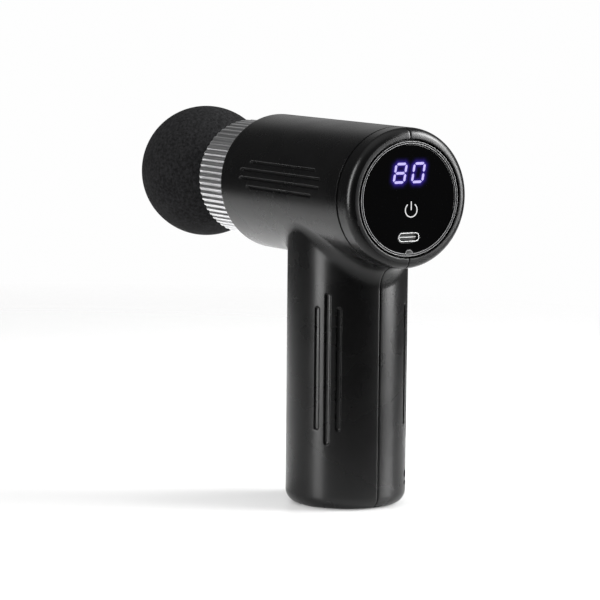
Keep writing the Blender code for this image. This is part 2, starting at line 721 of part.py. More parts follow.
def build_battery():
    cell_top = CELL_BOTTOM + CELL_LENGTH
    ends = [("front", -CELL_X), ("rear", CELL_X)]
    for name, x in ends:
        place = (x, 0, 0)
        cylinder(f"battery_cell_{name}", CELL_RADIUS, CELL_BOTTOM, cell_top, CELL_WRAP, centre=place)
        low = (x - 3 * MM, -3 * MM, cell_top + GAP)
        high = (x + 3 * MM, BOARD_Y - 1.6 * MM, cell_top + GAP + STRIP)
        box(f"nickel_tab_{name}", low, high, NICKEL)
    link_top = CELL_BOTTOM - GAP
    low = (-CELL_X - 3.5 * MM, -3.5 * MM, link_top - STRIP)
    box("nickel_link", low, (CELL_X + 3.5 * MM, 3.5 * MM, link_top), NICKEL)
    edge = [stadium((0, 0), CELL_X, HOLDER_RADIUS, 12)]
    high = link_top - STRIP - GAP
    plate("battery_holder_bottom", edge, high - HOLDER_THICKNESS, high, WHITE_PLASTIC)
    low = cell_top + 2 * GAP + STRIP
    plate("battery_holder_top", edge, low, low + HOLDER_THICKNESS, WHITE_PLASTIC)


def build_control_board():
    face = BOARD_Y + BOARD_THICKNESS
    board_top = 66 * MM
    low, high = (-12 * MM, BOARD_Y, 14 * MM), (12 * MM, face, board_top)
    box("control_board", low, high, BOARD_GREEN)
    low, high = (-7 * MM, face + GAP, 34 * MM), (-1 * MM, face + 1.6 * MM, 40 * MM)
    box("driver_chip", low, high, DARK_PLASTIC)
    can = 2.5 * MM
    place = (4 * MM, face + 0.4 * MM + can, 0)
    cylinder("capacitor", can, 50 * MM, 62 * MM, ALUMINIUM, centre=place, steps=16)

    lead_end = Vector((7, 12.6, 66.4)) * MM
    lead = [Vector(p) * MM for p in ((9.35, 10.7, 72.15), (9.2, 11.6, 71.9), (8.4, 12.5, 70.2))]
    lead.append(lead_end + Vector((0, 0, 1.8 * MM)))
    lead.append(lead_end)
    mirrored = [Vector((-p.x, p.y, p.z)) for p in lead]
    wire("battery_lead_rear", lead, 0.8 * MM, RED_WIRE)
    wire("battery_lead_front", mirrored, 0.8 * MM, BLACK_WIRE)
    motor = ((2, 12.2, 78.7), (1.8, 12.3, 76), (0.8, 12.6, 72), (0, 12.6, 66.4))
    wire("motor_lead", [Vector(p) * MM for p in motor], 1.1 * MM, BLACK_WIRE)
    display = (
        (33.5, 8, 104),
        (30.5, 8, 104),
        (26.5, 9.2, 103),
        (22.5, 10.8, 100.8),
        (19, 11.5, 99.3),
        (16, 11.6, 98),
        (14.2, 11.8, 95.5),
        (13.1, 12.5, 91),
        (12.5, 13.1, 85),
        (11.6, 13.9, 78),
        (10.5, 14.8, 70),
        (9.2, 15.5, 63),
        (8.7, 15.8, 57),
    )
    wire("display_cable", [Vector(p) * MM for p in display], 1.2 * MM, BLACK_WIRE)


# ---------------------------------------------------------------- rear panel


def build_panel():
    lens_front = LENS_REAR - LENS_THICKNESS
    lens = cylinder("display_lens", LENS_RADIUS, lens_front, LENS_REAR, BLACK_GLASS, "X", steps=48)
    usb_half = (USB_WIDTH - USB_HEIGHT) / 2
    usb_centre = (0, -USB_DROP)
    usb_hole = [stadium(usb_centre, usb_half, USB_HEIGHT / 2 + GAP, 6)]
    slot = plate("lens_usb_slot", usb_hole, 0, FAR, axis="X", centre=ON_BARREL_AXIS)
    at_tab = (0, 0, BARREL_HEIGHT - TAB_DROP)
    notch = cylinder("lens_tab_notch", TAB_RADIUS + GAP, 0, FAR, axis="X", centre=at_tab)
    cut(lens, slot, notch)

    trim = bush("trim_ring", TRIM_INNER, TRIM_RADIUS, lens_front, TRIM_REAR, GREY_TRIM, "X",
                steps=48)
    tab = cylinder("trim_tab", TAB_RADIUS, lens_front + SINK, TRIM_REAR - SINK, axis="X",
                   centre=at_tab, steps=16)
    tab_limit = cylinder("trim_tab_limit", TRIM_RADIUS - SINK, 0, FAR, axis="X", steps=48)
    boolean(tab, tab_limit, "INTERSECT")
    join(trim, tab)

    shelf_rear = lens_front - GAP
    skirt_front = DISPLAY_BOARD_X - 0.4 * MM
    skirt_bore = CARRIER_RADIUS - 1.6 * MM
    shelf_front = DISPLAY_BOARD_X + DISPLAY_BOARD_THICKNESS + 1.4 * MM
    shelf_bore = CARRIER_RADIUS - 2.9 * MM
    carrier = [
        (CARRIER_RADIUS, shelf_rear),
        (CARRIER_RADIUS, skirt_front),
        (skirt_bore, skirt_front),
        (skirt_bore, shelf_front),
        (shelf_bore, shelf_front),
        (shelf_bore, shelf_rear),
    ]
    carrier = turned("display_carrier", carrier, DARK_PLASTIC, steps=32, ring=True)
    board_rear = DISPLAY_BOARD_X + DISPLAY_BOARD_THICKNESS
    board = cylinder("display_board", skirt_bore - GAP, DISPLAY_BOARD_X, board_rear, BOARD_GREEN,
                     "X", steps=32)
    for k, angle in enumerate(POST_ANGLES):
        y, z = POST_CIRCLE * math.cos(angle), POST_CIRCLE * math.sin(angle)
        place = (0, y, BARREL_HEIGHT + z)
        post_low, post_high = board_rear + GAP, shelf_rear - SINK
        post = cylinder(f"carrier_post_{k}", POST_RADIUS, post_low, post_high, axis="X",
                        centre=place, steps=12)
        blind = shelf_rear - 0.8 * MM
        hole = cylinder(f"post_hole_{k}", 1.2 * MM, 0, blind, axis="X", centre=place, steps=12)
        join(carrier, post)
        cut(carrier, hole)
        cut(board, hole)
        under = DISPLAY_BOARD_X - GAP
        places = (under - 1.6 * MM, under, blind - GAP)
        screw(f"board_screw_{k + 1}", 1.9 * MM, 0.9 * MM, places, axis="X", centre=place)

    y, z = DIGITS_CENTRE
    low = (board_rear + GAP, y - 7.6 * MM, BARREL_HEIGHT + z - 5 * MM)
    high = (shelf_rear, y + 7.6 * MM, BARREL_HEIGHT + z + 4.6 * MM)
    box("digit_module", low, high, WHITE_PLASTIC)

    y, z = POWER_CENTRE
    turns, per_turn, coil = 3, 10, 2.2 * MM
    start, end = board_rear + 2 * GAP, shelf_rear - GAP
    points = []
    for k in range(turns * per_turn + 1):
        t = k / per_turn * TAU
        x = start + (end - start) * k / (turns * per_turn)
        points.append((x, y + coil * math.cos(t), BARREL_HEIGHT + z + coil * math.sin(t)))
    wire("touch_spring", points, 0.25 * MM, NICKEL, sides=0, smooth=False)

    shell_low, shell_high = board_rear + GAP, LENS_REAR - 0.1 * MM
    outer = stadium(usb_centre, usb_half, USB_HEIGHT / 2, 6)
    inner = stadium(usb_centre, usb_half, USB_HEIGHT / 2 - USB_SHEET, 6)
    plate("usb_shell", [outer, inner], shell_low, shell_high, STEEL, "X", ON_BARREL_AXIS)
    base = [stadium(usb_centre, usb_half, USB_HEIGHT / 2 - USB_SHEET - GAP, 6)]
    base_high = shell_low + 1.2 * MM
    tongue = plate("usb_tongue", base, shell_low, base_high, DARK_PLASTIC, "X", ON_BARREL_AXIS)
    z = BARREL_HEIGHT - USB_DROP
    low = (base_high - SINK, -3.35 * MM, z - 0.35 * MM)
    high = (LENS_REAR - 0.8 * MM, 3.35 * MM, z + 0.35 * MM)
    join(tongue, box("usb_tongue_blade", low, high))


def main():
    clear_scene()
    new_collection("massage_gun")
    new_collection("cutters")
    build_housing()
    build_nose()
    build_massage_head()
    build_piston()
    build_rod()
    build_rotor()
    build_motor()
    build_drive_frame()
    build_battery()
    build_control_board()
    build_panel()


main()
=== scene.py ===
"""Looks of the handheld massage gun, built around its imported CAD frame.

Metres, +Z up, the origin at the centre of the handle's base. The barrel lies along X with the
display panel at +X and the foam ball at -X; the two housing halves meet at Y = 0.
"""
import json
import math

import bmesh
import bpy
from mathutils import Matrix, Vector


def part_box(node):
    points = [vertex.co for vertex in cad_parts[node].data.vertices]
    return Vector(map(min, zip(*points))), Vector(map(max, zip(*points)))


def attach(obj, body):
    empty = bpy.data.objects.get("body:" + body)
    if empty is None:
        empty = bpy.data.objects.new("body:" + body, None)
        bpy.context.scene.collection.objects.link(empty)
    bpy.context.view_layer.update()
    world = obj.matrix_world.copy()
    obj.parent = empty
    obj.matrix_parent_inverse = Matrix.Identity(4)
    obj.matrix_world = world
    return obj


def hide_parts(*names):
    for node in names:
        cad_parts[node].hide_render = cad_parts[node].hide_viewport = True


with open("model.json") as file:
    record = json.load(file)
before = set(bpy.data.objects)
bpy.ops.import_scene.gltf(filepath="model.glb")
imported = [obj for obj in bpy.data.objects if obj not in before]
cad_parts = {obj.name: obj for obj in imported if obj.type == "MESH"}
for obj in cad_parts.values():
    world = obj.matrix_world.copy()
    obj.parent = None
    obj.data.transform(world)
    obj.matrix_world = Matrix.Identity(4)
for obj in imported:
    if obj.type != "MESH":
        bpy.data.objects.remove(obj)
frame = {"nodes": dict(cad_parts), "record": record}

MM = 0.001
TAU = 2 * math.pi
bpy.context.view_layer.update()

# ---- sizes read from the frame

shell_low, shell_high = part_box("left_housing")
collar_low, collar_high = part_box("nose_collar")
ball_low, ball_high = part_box("ball_head")
lens_low, lens_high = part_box("display_lens")
trim_low, trim_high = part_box("trim_ring")
sleeve_low, sleeve_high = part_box("nose_sleeve")
seal_low, seal_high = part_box("wiper_seal")
piston_low, piston_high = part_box("piston")
stem_low, stem_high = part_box("ball_stem")
usb_low, usb_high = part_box("usb_shell")

BARREL_RADIUS = -shell_low.y
BARREL_HEIGHT = shell_high.z - BARREL_RADIUS
BARREL_REAR = shell_high.x
BARREL_FRONT = shell_low.x

# Shell, in the same terms as the CAD
HANDLE_RADIUS = 22.3 * MM
REAR_FILLET = 3.7 * MM
FRONT_FILLET = 3.0 * MM
BASE_FILLET = 4.75 * MM
BASE_FLAT = HANDLE_RADIUS - BASE_FILLET
NECK_FILLET = 9.0 * MM
REAR_MOUTH = 21.5 * MM
FRONT_MOUTH = 18.7 * MM
RING_GROOVE_X = 32.2 * MM
RING_GROOVE_HALF = 0.58 * MM
RING_GROOVE_EDGE = 0.4 * MM
RING_GROOVE_DEPTH = 0.8 * MM
SKIN = 1.2 * MM
SEAM_HALF = 0.12 * MM
SEAM_EDGE = 0.22 * MM
SEAM_DEPTH = 0.16 * MM
# Distances from the seam's plane at which the surface has points
SEAM_OFFSETS = (SEAM_HALF, SEAM_HALF + SEAM_EDGE / 2, SEAM_HALF + SEAM_EDGE, 0.8 * MM)

# The stretch of barrel round the neck, in X and in angle up from the bottom of the barrel
NECK_REAR = 31.5 * MM
NECK_FRONT = -39.0 * MM
NECK_TOP = math.radians(80)
# The handle's rows are level up to here, and bend up to the neck's fillet above it
HANDLE_LEVEL = 81.3 * MM

# Each group's grooves: their angles, the ends of the short and of the long ones, which are long,
# and half the width, the rounded edge's width and the depth
BARREL_GROOVES = {
    "angles": [math.radians(89.7 + 7.1 * k) for k in range(4)],
    "ends": [(-31.5 * MM, 14.7 * MM), (-36.8 * MM, 19.8 * MM)],
    "long": (1, 2),
    "half": 0.76 * MM,
    "edge": 0.6 * MM,
    "depth": 0.62 * MM,
}
HANDLE_GROOVES = {
    "angles": [math.radians(51.0 + 10.8 * k) for k in (-1, 0, 1)],
    "ends": [(29.3 * MM, 75.2 * MM), (24.1 * MM, 80.5 * MM)],
    "long": (1,),
    "half": 1.2 * MM,
    "edge": 0.6 * MM,
    "depth": 0.75 * MM,
}
EYELET_ANGLE = math.radians(48)
EYELET_WIDTH = 3.4 * MM
EYELET_SLOTS = [(6.8 * MM, 8.7 * MM), (9.5 * MM, 12.6 * MM)]


# ---- mesh building blocks


def scene_object(name, data):
    obj = bpy.data.objects.new(name, data)
    bpy.context.scene.collection.objects.link(obj)
    return obj


def object_from(name, bm, materials):
    mesh = bpy.data.meshes.new(name)
    bm.to_mesh(mesh)
    bm.free()
    for material in materials:
        mesh.materials.append(material)
    return scene_object(name, mesh)


def smooth(obj, degrees=35):
    obj.data.shade_smooth()
    obj.data.set_sharp_from_angle(angle=math.radians(degrees))
    return obj


def grid(bm, rows, wrap=False, material=0):
    """Quads over rows of points; wrap closes each row on itself."""
    made = [[bm.verts.new(p) for p in row] for row in rows]
    for near, far in zip(made, made[1:]):
        count = len(near)
        for k in range(count if wrap else count - 1):
            m = (k + 1) % count
            face = bm.faces.new((near[k], near[m], far[m], far[k]))
            face.material_index = material


def weld(bm, distance=0.000002):
    bmesh.ops.remove_doubles(bm, verts=bm.verts, dist=distance)
    bmesh.ops.dissolve_degenerate(bm, dist=0.0000005, edges=bm.edges)


def apply_modifiers(obj):
    bpy.context.view_layer.update()
    graph = bpy.context.evaluated_depsgraph_get()
    mesh = bpy.data.meshes.new_from_object(obj.evaluated_get(graph))
    old = obj.data
    obj.modifiers.clear()
    obj.data = mesh
    mesh.name = obj.name
    bpy.data.meshes.remove(old)
    return obj


def arc(centre, radius, start, end, steps):
    turns = [start + (end - start) * k / steps for k in range(steps + 1)]
    return [(centre[0] + radius * math.cos(t), centre[1] + radius * math.sin(t)) for t in turns]


def on_barrel(radius, x, turn):
    """Point about the barrel's axis; turn is 0 at the bottom and grows towards -Y."""
    y = -radius * math.sin(turn)
    return Vector((x, y, BARREL_HEIGHT - radius * math.cos(turn)))


def lathe(name, outline, materials, columns=128, shape=None):
    """Closed turned body about an axis along X. outline is (radius, x) pairs, joined to a loop
    unless it starts and ends on the axis; shape may change a point's radius."""
    bm = bmesh.new()
    on_axis = outline[0][0] == 0
    loop = outline if on_axis else [*outline, outline[0]]
    rows = []
    for radius, x in loop:
        row = []
        for k in range(columns):
            turn = TAU * k / columns
            r = shape(radius, x, turn) if shape else radius
            row.append(on_barrel(r, x, turn))
        rows.append(row)
    grid(bm, rows, wrap=True)
    weld(bm)
    bmesh.ops.recalc_face_normals(bm, faces=bm.faces)
    return object_from(name, bm, materials)


def rounded(corners, radius, steps=4):
    """Closed outline with its corners rounded."""
    points = []
    count = len(corners)
    for k in range(count):
        here = Vector(corners[k])
        before, after = Vector(corners[k - 1]), Vector(corners[(k + 1) % count])
        a, b = (before - here), (after - here)
        reach = min(radius, a.length / 2.2, b.length / 2.2)
        start, end = here + a.normalized() * reach, here + b.normalized() * reach
        for s in range(steps + 1):
            t = s / steps
            points.append(tuple(start * (1 - t) ** 2 + here * 2 * t * (1 - t) + end * t * t))
    return points


# ---- shell surface


def smoothstep(t):
    t = min(max(t, 0.0), 1.0)
    return t * t * (3 - 2 * t)


def groove_depth(grooves, arc_radius, angle, along):
    """How deep the nearest groove is at an angle and a place along it."""
    deepest = 0.0
    for k, middle in enumerate(grooves["angles"]):
        low, high = grooves["ends"][k in grooves["long"]]
        half = grooves["half"]
        aside = abs(angle - middle) * arc_radius
        if aside > half:
            continue
        past = max(low + half - along, along - high + half, 0)
        inside = half - math.hypot(aside, past)
        deepest = max(deepest, grooves["depth"] * smoothstep(inside / grooves["edge"]))
    return deepest


def across(grooves, arc_radius):
    """Angles that catch a groove's walls and edges."""
    half, edge = grooves["half"], grooves["edge"]
    walls = [half + edge * 0.5] + [half - edge * k / 8 for k in range(9)]
    steps = sorted({s * w for w in walls for s in (-1, 1)} | {0.0})
    return [middle + step / arc_radius for middle in grooves["angles"] for step in steps]


def along(grooves):
    """Places along the grooves that catch their rounded ends."""
    half, edge = grooves["half"], grooves["edge"]
    steps = [-edge * 0.5] + [half * k / 9 for k in range(10)] + [half * 1.5]
    places = []
    for low, high in grooves["ends"]:
        places += [low + s for s in steps] + [high - s for s in steps]
    return places


def spread(fixed, low, high, step):
    """fixed places and an even filling of low to high, with no filling near a fixed place."""
    count = max(2, round((high - low) / step))
    even = [low + (high - low) * k / count for k in range(count + 1)]
    kept = [f for f in fixed if low <= f <= high]
    filling = [e for e in even if all(abs(e - f) > step * 0.35 for f in kept)]
    return sorted(set(kept) | set(filling) | {low, high})


def on_handle(radius, theta, z):
    """Point about the handle's axis; theta is 0 at +X and grows towards -Y."""
    return Vector((radius * math.cos(theta), -radius * math.sin(theta), z))


def ball_centre(theta):
    """Centre of the ball that rolls round the neck, and its drop below the barrel's axis."""
    rolling = HANDLE_RADIUS + NECK_FILLET
    side = rolling * math.sin(theta)
    drop = math.sqrt((BARREL_RADIUS + NECK_FILLET) ** 2 - side**2)
    return Vector((rolling * math.cos(theta), -side, BARREL_HEIGHT - drop)), drop


def neck_edge(theta):
    """Where the neck's fillet leaves the barrel: its X and its turn about the barrel."""
    centre, drop = ball_centre(theta)
    return centre.x, math.atan2(-centre.y, drop)


def neck_ray(theta):
    """Direction of neck_edge in the barrel's unrolled surface."""
    x, turn = neck_edge(theta)
    return math.atan2(turn * BARREL_RADIUS, x)


def neck_theta(ray):
    """The handle angle whose neck_ray is this one."""
    low, high = 0.0, math.pi
    for _ in range(50):
        middle = (low + high) / 2
        if neck_ray(middle) < ray:
            low = middle
        else:
            high = middle
    return (low + high) / 2


def frame_point(ray):
    """Where a ray from under the barrel leaves the neck's stretch: (side, x, turn)."""
    top = NECK_TOP * BARREL_RADIUS
    if ray <= math.atan2(top, NECK_REAR):
        return "rear", NECK_REAR, math.tan(ray) * NECK_REAR / BARREL_RADIUS
    if ray >= math.atan2(top, NECK_FRONT):
        return "front", NECK_FRONT, math.tan(ray) * NECK_FRONT / BARREL_RADIUS
    return "top", top / math.tan(ray), NECK_TOP


def neck_rays():
    """Rays that serve the handle's grooves, the barrel's rows and an even spread."""
    top = NECK_TOP * BARREL_RADIUS
    rays = [neck_ray(t) for t in across(HANDLE_GROOVES, HANDLE_RADIUS)]
    rays += [math.atan2(top, x) for x in along(BARREL_GROOVES)]
    rays += [math.atan2(top, NECK_REAR), math.atan2(top, NECK_FRONT)]
    for offset in SEAM_OFFSETS:
        theta = math.asin(offset / HANDLE_RADIUS)
        rays += [neck_ray(theta), neck_ray(math.pi - theta)]
    low, high = min(rays), max(rays)
    return spread(rays, low, high, math.radians(2.2))


def end_rows(side):
    """(radius, x) rows from the neck's stretch to the inside of a mouth."""
    quarter = math.pi / 2
    if side == "rear":
        rows = [(BARREL_RADIUS, NECK_REAR)]
        lips = [RING_GROOVE_HALF - RING_GROOVE_EDGE * k / 7 for k in range(8)]
        for away in [-lip for lip in lips] + lips[::-1]:
            inside = (RING_GROOVE_HALF - abs(away)) / RING_GROOVE_EDGE
            depth = RING_GROOVE_DEPTH * smoothstep(inside)
            rows.append((BARREL_RADIUS - depth, RING_GROOVE_X + away))
        start = BARREL_REAR - REAR_FILLET
        flat = start - RING_GROOVE_X
        rows += [(BARREL_RADIUS, RING_GROOVE_X + flat * k / 4) for k in (1, 2, 3)]
        rows += arc((BARREL_RADIUS - REAR_FILLET, start), REAR_FILLET, 0, quarter, 14)
        lip = REAR_MOUTH + 0.25 * MM
        rows += arc((lip, BARREL_REAR - 0.25 * MM), 0.25 * MM, quarter, 2 * quarter, 3)[1:]
        rows += [(REAR_MOUTH, BARREL_REAR - d) for d in (1 * MM, 2.4 * MM, 4.0 * MM)]
        return rows
    end = BARREL_FRONT + FRONT_FILLET
    rows = [(BARREL_RADIUS, NECK_FRONT + (end - NECK_FRONT) * k / 5) for k in range(5)]
    rows += arc((BARREL_RADIUS - FRONT_FILLET, end), FRONT_FILLET, 0, -quarter, 12)
    rows += [(FRONT_MOUTH + 0.3 * MM, BARREL_FRONT), (FRONT_MOUTH, BARREL_FRONT + 0.3 * MM)]
    rows += [(FRONT_MOUTH, BARREL_FRONT + 2 * MM)]
    return rows


def barrel_turns():
    """Turns about the barrel over its upper part, from NECK_TOP to the seam on top."""
    seam = [math.pi - math.asin(offset / BARREL_RADIUS) for offset in SEAM_OFFSETS]
    fixed = across(BARREL_GROOVES, BARREL_RADIUS) + seam
    return spread(fixed, NECK_TOP, seam[0], math.radians(2.4))


def fan_rows(thetas, frame_points):
    """From the edge of the neck's fillet outwards over the barrel."""
    fans = 14
    edge = [neck_edge(theta) for theta in thetas]
    rows = []
    for step in range(fans + 1):
        t = step / fans
        rows.append([on_barrel(BARREL_RADIUS, x0 + (x1 - x0) * t, turn0 + (turn1 - turn0) * t)
                     for (x0, turn0), (_, x1, turn1) in zip(edge, frame_points)])
    return rows


def fillet_rows(thetas):
    """Over the neck's fillet, from the handle to the barrel."""
    steps = 12
    rows = []
    for step in range(steps + 1):
        row = []
        for theta in thetas:
            centre, drop = ball_centre(theta)
            outward = on_handle(1, theta, 0)
            to_barrel = Vector((0, -centre.y, drop)).normalized()
            row.append(centre + NECK_FILLET * (-outward).slerp(to_barrel, step / steps))
        rows.append(row)
    return rows


def handle_rows(thetas):
    """Up the handle, from the edge of its flat base to the neck's fillet."""
    rows = []
    for z in spread(along(HANDLE_GROOVES), BASE_FILLET, HANDLE_LEVEL, 3 * MM):
        depths = [groove_depth(HANDLE_GROOVES, HANDLE_RADIUS, theta, z) for theta in thetas]
        rows.append([on_handle(HANDLE_RADIUS - d, theta, z) for theta, d in zip(thetas, depths)])
    rise = 7
    tops = [ball_centre(theta)[0].z for theta in thetas]
    for step in range(1, rise + 1):
        heights = [HANDLE_LEVEL + (top - HANDLE_LEVEL) * step / rise for top in tops]
        rows.append([on_handle(HANDLE_RADIUS, theta, z) for theta, z in zip(thetas, heights)])
    base = arc((BASE_FLAT, BASE_FILLET), BASE_FILLET, -math.pi / 2, 0, 12)
    return [[on_handle(r, t, z) for t in thetas] for r, z in base[:-1]] + rows


def base_rows(thetas):
    """Over the flat base, from the seam outwards."""
    edge = [on_handle(BASE_FLAT, theta, 0) for theta in thetas]
    offsets = (*SEAM_OFFSETS[:3], BASE_FLAT / 8, BASE_FLAT / 3, BASE_FLAT / 1.5, BASE_FLAT)
    return [[Vector((p.x, max(-offset, p.y), 0)) for p in edge] for offset in offsets]


def side_rows(frame_points, turns):
    """Over the barrel's side and top, above the neck's stretch."""
    xs = {x for side, x, _ in frame_points if side == "top"}
    rows = []
    for x in sorted(xs | {NECK_REAR, NECK_FRONT}, reverse=True):
        depths = [groove_depth(BARREL_GROOVES, BARREL_RADIUS, turn, x) for turn in turns]
        rows.append([on_barrel(BARREL_RADIUS - d, x, turn) for turn, d in zip(turns, depths)])
    return rows


def mouth_rows(side, frame_points, turns):
    """Round one end of the barrel and into its mouth."""
    start = NECK_REAR if side == "rear" else NECK_FRONT
    below = sorted(turn for _, x, turn in frame_points if abs(x - start) < 0.001 * MM)
    columns = [turn for turn in below if turn < NECK_TOP - 0.00001] + turns
    return [[on_barrel(r, x, turn) for turn in columns] for r, x in end_rows(side)]


def half_shell_surface(bm):
    """The outer surface of the -Y half: grids that share their edges, to be welded."""
    rays = neck_rays()
    thetas = [neck_theta(ray) for ray in rays]
    frame_points = [frame_point(ray) for ray in rays]
    turns = barrel_turns()
    sheets = [fan_rows(thetas, frame_points), fillet_rows(thetas), handle_rows(thetas)]
    sheets += [base_rows(thetas), side_rows(frame_points, turns)]
    sheets += [mouth_rows(side, frame_points, turns) for side in ("rear", "front")]
    for rows in sheets:
        grid(bm, rows)


def press_seam(bm):
    """Rounds the skin in along the seam, so that two halves leave a fine line between them."""
    bm.normal_update()
    moves = []
    for vert in bm.verts:
        reach = (SEAM_HALF + SEAM_EDGE - abs(vert.co.y)) / SEAM_EDGE
        if reach > 0.01:
            moves.append((vert, vert.co - vert.normal * SEAM_DEPTH * min(reach, 1) ** 2))
    for vert, place in moves:
        vert.co = (place.x, min(place.y, -SEAM_HALF), place.z)


def half_shell(name, side, materials):
    bm = bmesh.new()
    half_shell_surface(bm)
    weld(bm)
    bmesh.ops.recalc_face_normals(bm, faces=bm.faces)
    if sum(face.calc_area() * face.normal.y for face in bm.faces) > 0:
        bmesh.ops.reverse_faces(bm, faces=bm.faces)
    press_seam(bm)
    inner = REAR_MOUTH + 0.1 * MM
    outer = BARREL_RADIUS - 2.3 * MM
    for face in bm.faces:
        centre = face.calc_center_median()
        radius = math.hypot(centre.y, centre.z - BARREL_HEIGHT)
        if centre.x > BARREL_REAR - 1.2 * MM and inner < radius < outer:
            face.material_index = 1
    if side > 0:
        bmesh.ops.scale(bm, vec=(1, -1, 1), verts=bm.verts)
        bmesh.ops.reverse_faces(bm, faces=bm.faces)
    obj = object_from(name, bm, materials)
    wall = obj.modifiers.new("Wall", "SOLIDIFY")
    wall.thickness = SKIN
    wall.offset = -1
    wall.use_even_offset = False
    apply_modifiers(obj)
    return obj


ON_SURFACE = 0.002 * MM
GROOVE_REACH = 0.8 * MM


def grooved_normal(grooves, full_radius, angle, at, radius, outward, around, axis):
    """Normal of a grooved cylinder at an angle and a place, or None if the point is not on it."""
    if abs(radius - full_radius + groove_depth(grooves, full_radius, angle, at)) > ON_SURFACE:
        return None
    step = 0.02 * MM
    turn = step / full_radius
    aside = groove_depth(grooves, full_radius, angle + turn, at)
    aside -= groove_depth(grooves, full_radius, angle - turn, at)
    onward = groove_depth(grooves, full_radius, angle, at + step)
    onward -= groove_depth(grooves, full_radius, angle, at - step)
    return (outward + around * (aside / (2 * step)) + axis * (onward / (2 * step))).normalized()


def true_normal(point):
    """Normal of the barrel's or the handle's surface at a point that lies on one of them."""
    side = -1 if point.y < 0 else 1
    level = point.z - BARREL_HEIGHT
    radius = math.hypot(point.y, level)
    if radius > BARREL_RADIUS - GROOVE_REACH and NECK_FRONT < point.x < NECK_REAR:
        outward = Vector((0, point.y, level)) / radius
        turn = math.atan2(abs(point.y), -level)
        around = Vector((0, side * math.cos(turn), math.sin(turn)))
        return grooved_normal(BARREL_GROOVES, BARREL_RADIUS, turn, point.x, radius, outward, around,
                              Vector((1, 0, 0)))
    if abs(radius - BARREL_RADIUS) < ON_SURFACE:
        return Vector((0, point.y, level)) / radius
    radius = math.hypot(point.x, point.y)
    neck_top = BARREL_HEIGHT - BARREL_RADIUS + NECK_FILLET
    below_neck = BASE_FILLET - ON_SURFACE < point.z < neck_top
    if below_neck and radius > HANDLE_RADIUS - GROOVE_REACH:
        outward = Vector((point.x, point.y, 0)) / radius
        theta = math.atan2(abs(point.y), point.x)
        around = Vector((-math.sin(theta), side * math.cos(theta), 0))
        return grooved_normal(HANDLE_GROOVES, HANDLE_RADIUS, theta, point.z, radius, outward,
                              around, Vector((0, 0, 1)))
    return None


def true_cylinders(obj):
    """Shades barrel and handle, with their grooves, by the exact surface."""
    mesh = obj.data
    normals = [Vector(corner.vector) for corner in mesh.corner_normals]
    for face in mesh.polygons:
        for loop in face.loop_indices:
            normal = true_normal(mesh.vertices[mesh.loops[loop].vertex_index].co)
            if normal and normal.dot(face.normal) > 0.7:
                normals[loop] = normal
    mesh.normals_split_custom_set(normals)


def eyelet_cutter(name, low, high):
    """Slot with full round ends through the wall, square to it."""
    middle, wide, tall = (low + high) / 2, EYELET_WIDTH / 2, (high - low) / 2
    edge = []
    for k in range(32):
        turn = TAU * k / 32
        y = wide * math.copysign(abs(math.cos(turn)) ** 0.8, math.cos(turn))
        edge.append((y, middle + tall * math.copysign(abs(math.sin(turn)) ** 0.8, math.sin(turn))))
    bm = bmesh.new()
    ends = (HANDLE_RADIUS - 4 * MM, HANDLE_RADIUS + 2 * MM)
    grid(bm, [[Vector((x, y, z)) for y, z in edge] for x in ends], wrap=True)
    bmesh.ops.holes_fill(bm, edges=bm.edges)
    bmesh.ops.recalc_face_normals(bm, faces=bm.faces)
    bmesh.ops.rotate(bm, matrix=Matrix.Rotation(EYELET_ANGLE, 3, "Z"), verts=bm.verts)
    return object_from(name, bm, [])


def cut_away(obj, cutters):
    """Takes the cutters' volumes out of obj, and removes them."""
    for cutter in cutters:
        modifier = obj.modifiers.new(cutter.name, "BOOLEAN")
        modifier.operation = "DIFFERENCE"
        modifier.solver = "EXACT"
        modifier.object = cutter
    apply_modifiers(obj)
    for cutter in cutters:
        bpy.data.objects.remove(cutter)


def cut_eyelet(shell):
    cut_away(shell, [eyelet_cutter(f"eyelet_{k}", *slot) for k, slot in enumerate(EYELET_SLOTS)])


# ---- materials


def add_node(tree, kind, **inputs):
    """A new shader node; each input is a value or another node's output."""
    node = tree.nodes.new("ShaderNode" + kind)
    for name, value in inputs.items():
        socket = node.inputs[name.replace("_", " ")]
        if isinstance(value, bpy.types.NodeSocket):
            tree.links.new(value, socket)
        else:
            socket.default_value = value
    return node


class Nodes:
    """A material's node tree, with short calls for the nodes used here."""

    def __init__(self, name):
        self.material = bpy.data.materials.new(name)
        self.material.use_nodes = True
        self.tree = self.material.node_tree
        self.shader = self.tree.nodes["Principled BSDF"]
        self.place = self.add("TexCoord").outputs["Object"]

    def add(self, kind, **inputs):
        return add_node(self.tree, kind, **inputs)

    def set(self, **values):
        for key, value in values.items():
            socket = self.shader.inputs[key.replace("_", " ")]
            socket.default_value = (*value, 1) if isinstance(value, tuple) else value

    def link(self, output, name):
        self.tree.links.new(output, self.shader.inputs[name])

    def stretched(self, scale):
        return self.add("Mapping", Vector=self.place, Scale=scale).outputs["Vector"]

    def noise(self, scale, detail=3.0, rough=0.5, place=None):
        place = place or self.place
        node = self.add("TexNoise", Vector=place, Scale=scale, Detail=detail, Roughness=rough)
        return node.outputs["Fac"]

    def ranged(self, value, low, high, start=0.0, end=1.0):
        node = self.add("MapRange", Value=value, From_Min=start, From_Max=end, To_Min=low,
                        To_Max=high)
        return node.outputs["Result"]

    def colours(self, value, low, high, start=0.3, end=0.7):
        node = self.add("ValToRGB", Fac=value)
        first, last = node.color_ramp.elements
        first.color, first.position = (*low, 1), start
        last.color, last.position = (*high, 1), end
        return node.outputs["Color"]

    def bump(self, height, distance, strength=1.0, **under):
        node = self.add("Bump", Height=height, Distance=distance, Strength=strength, **under)
        return node.outputs["Normal"]


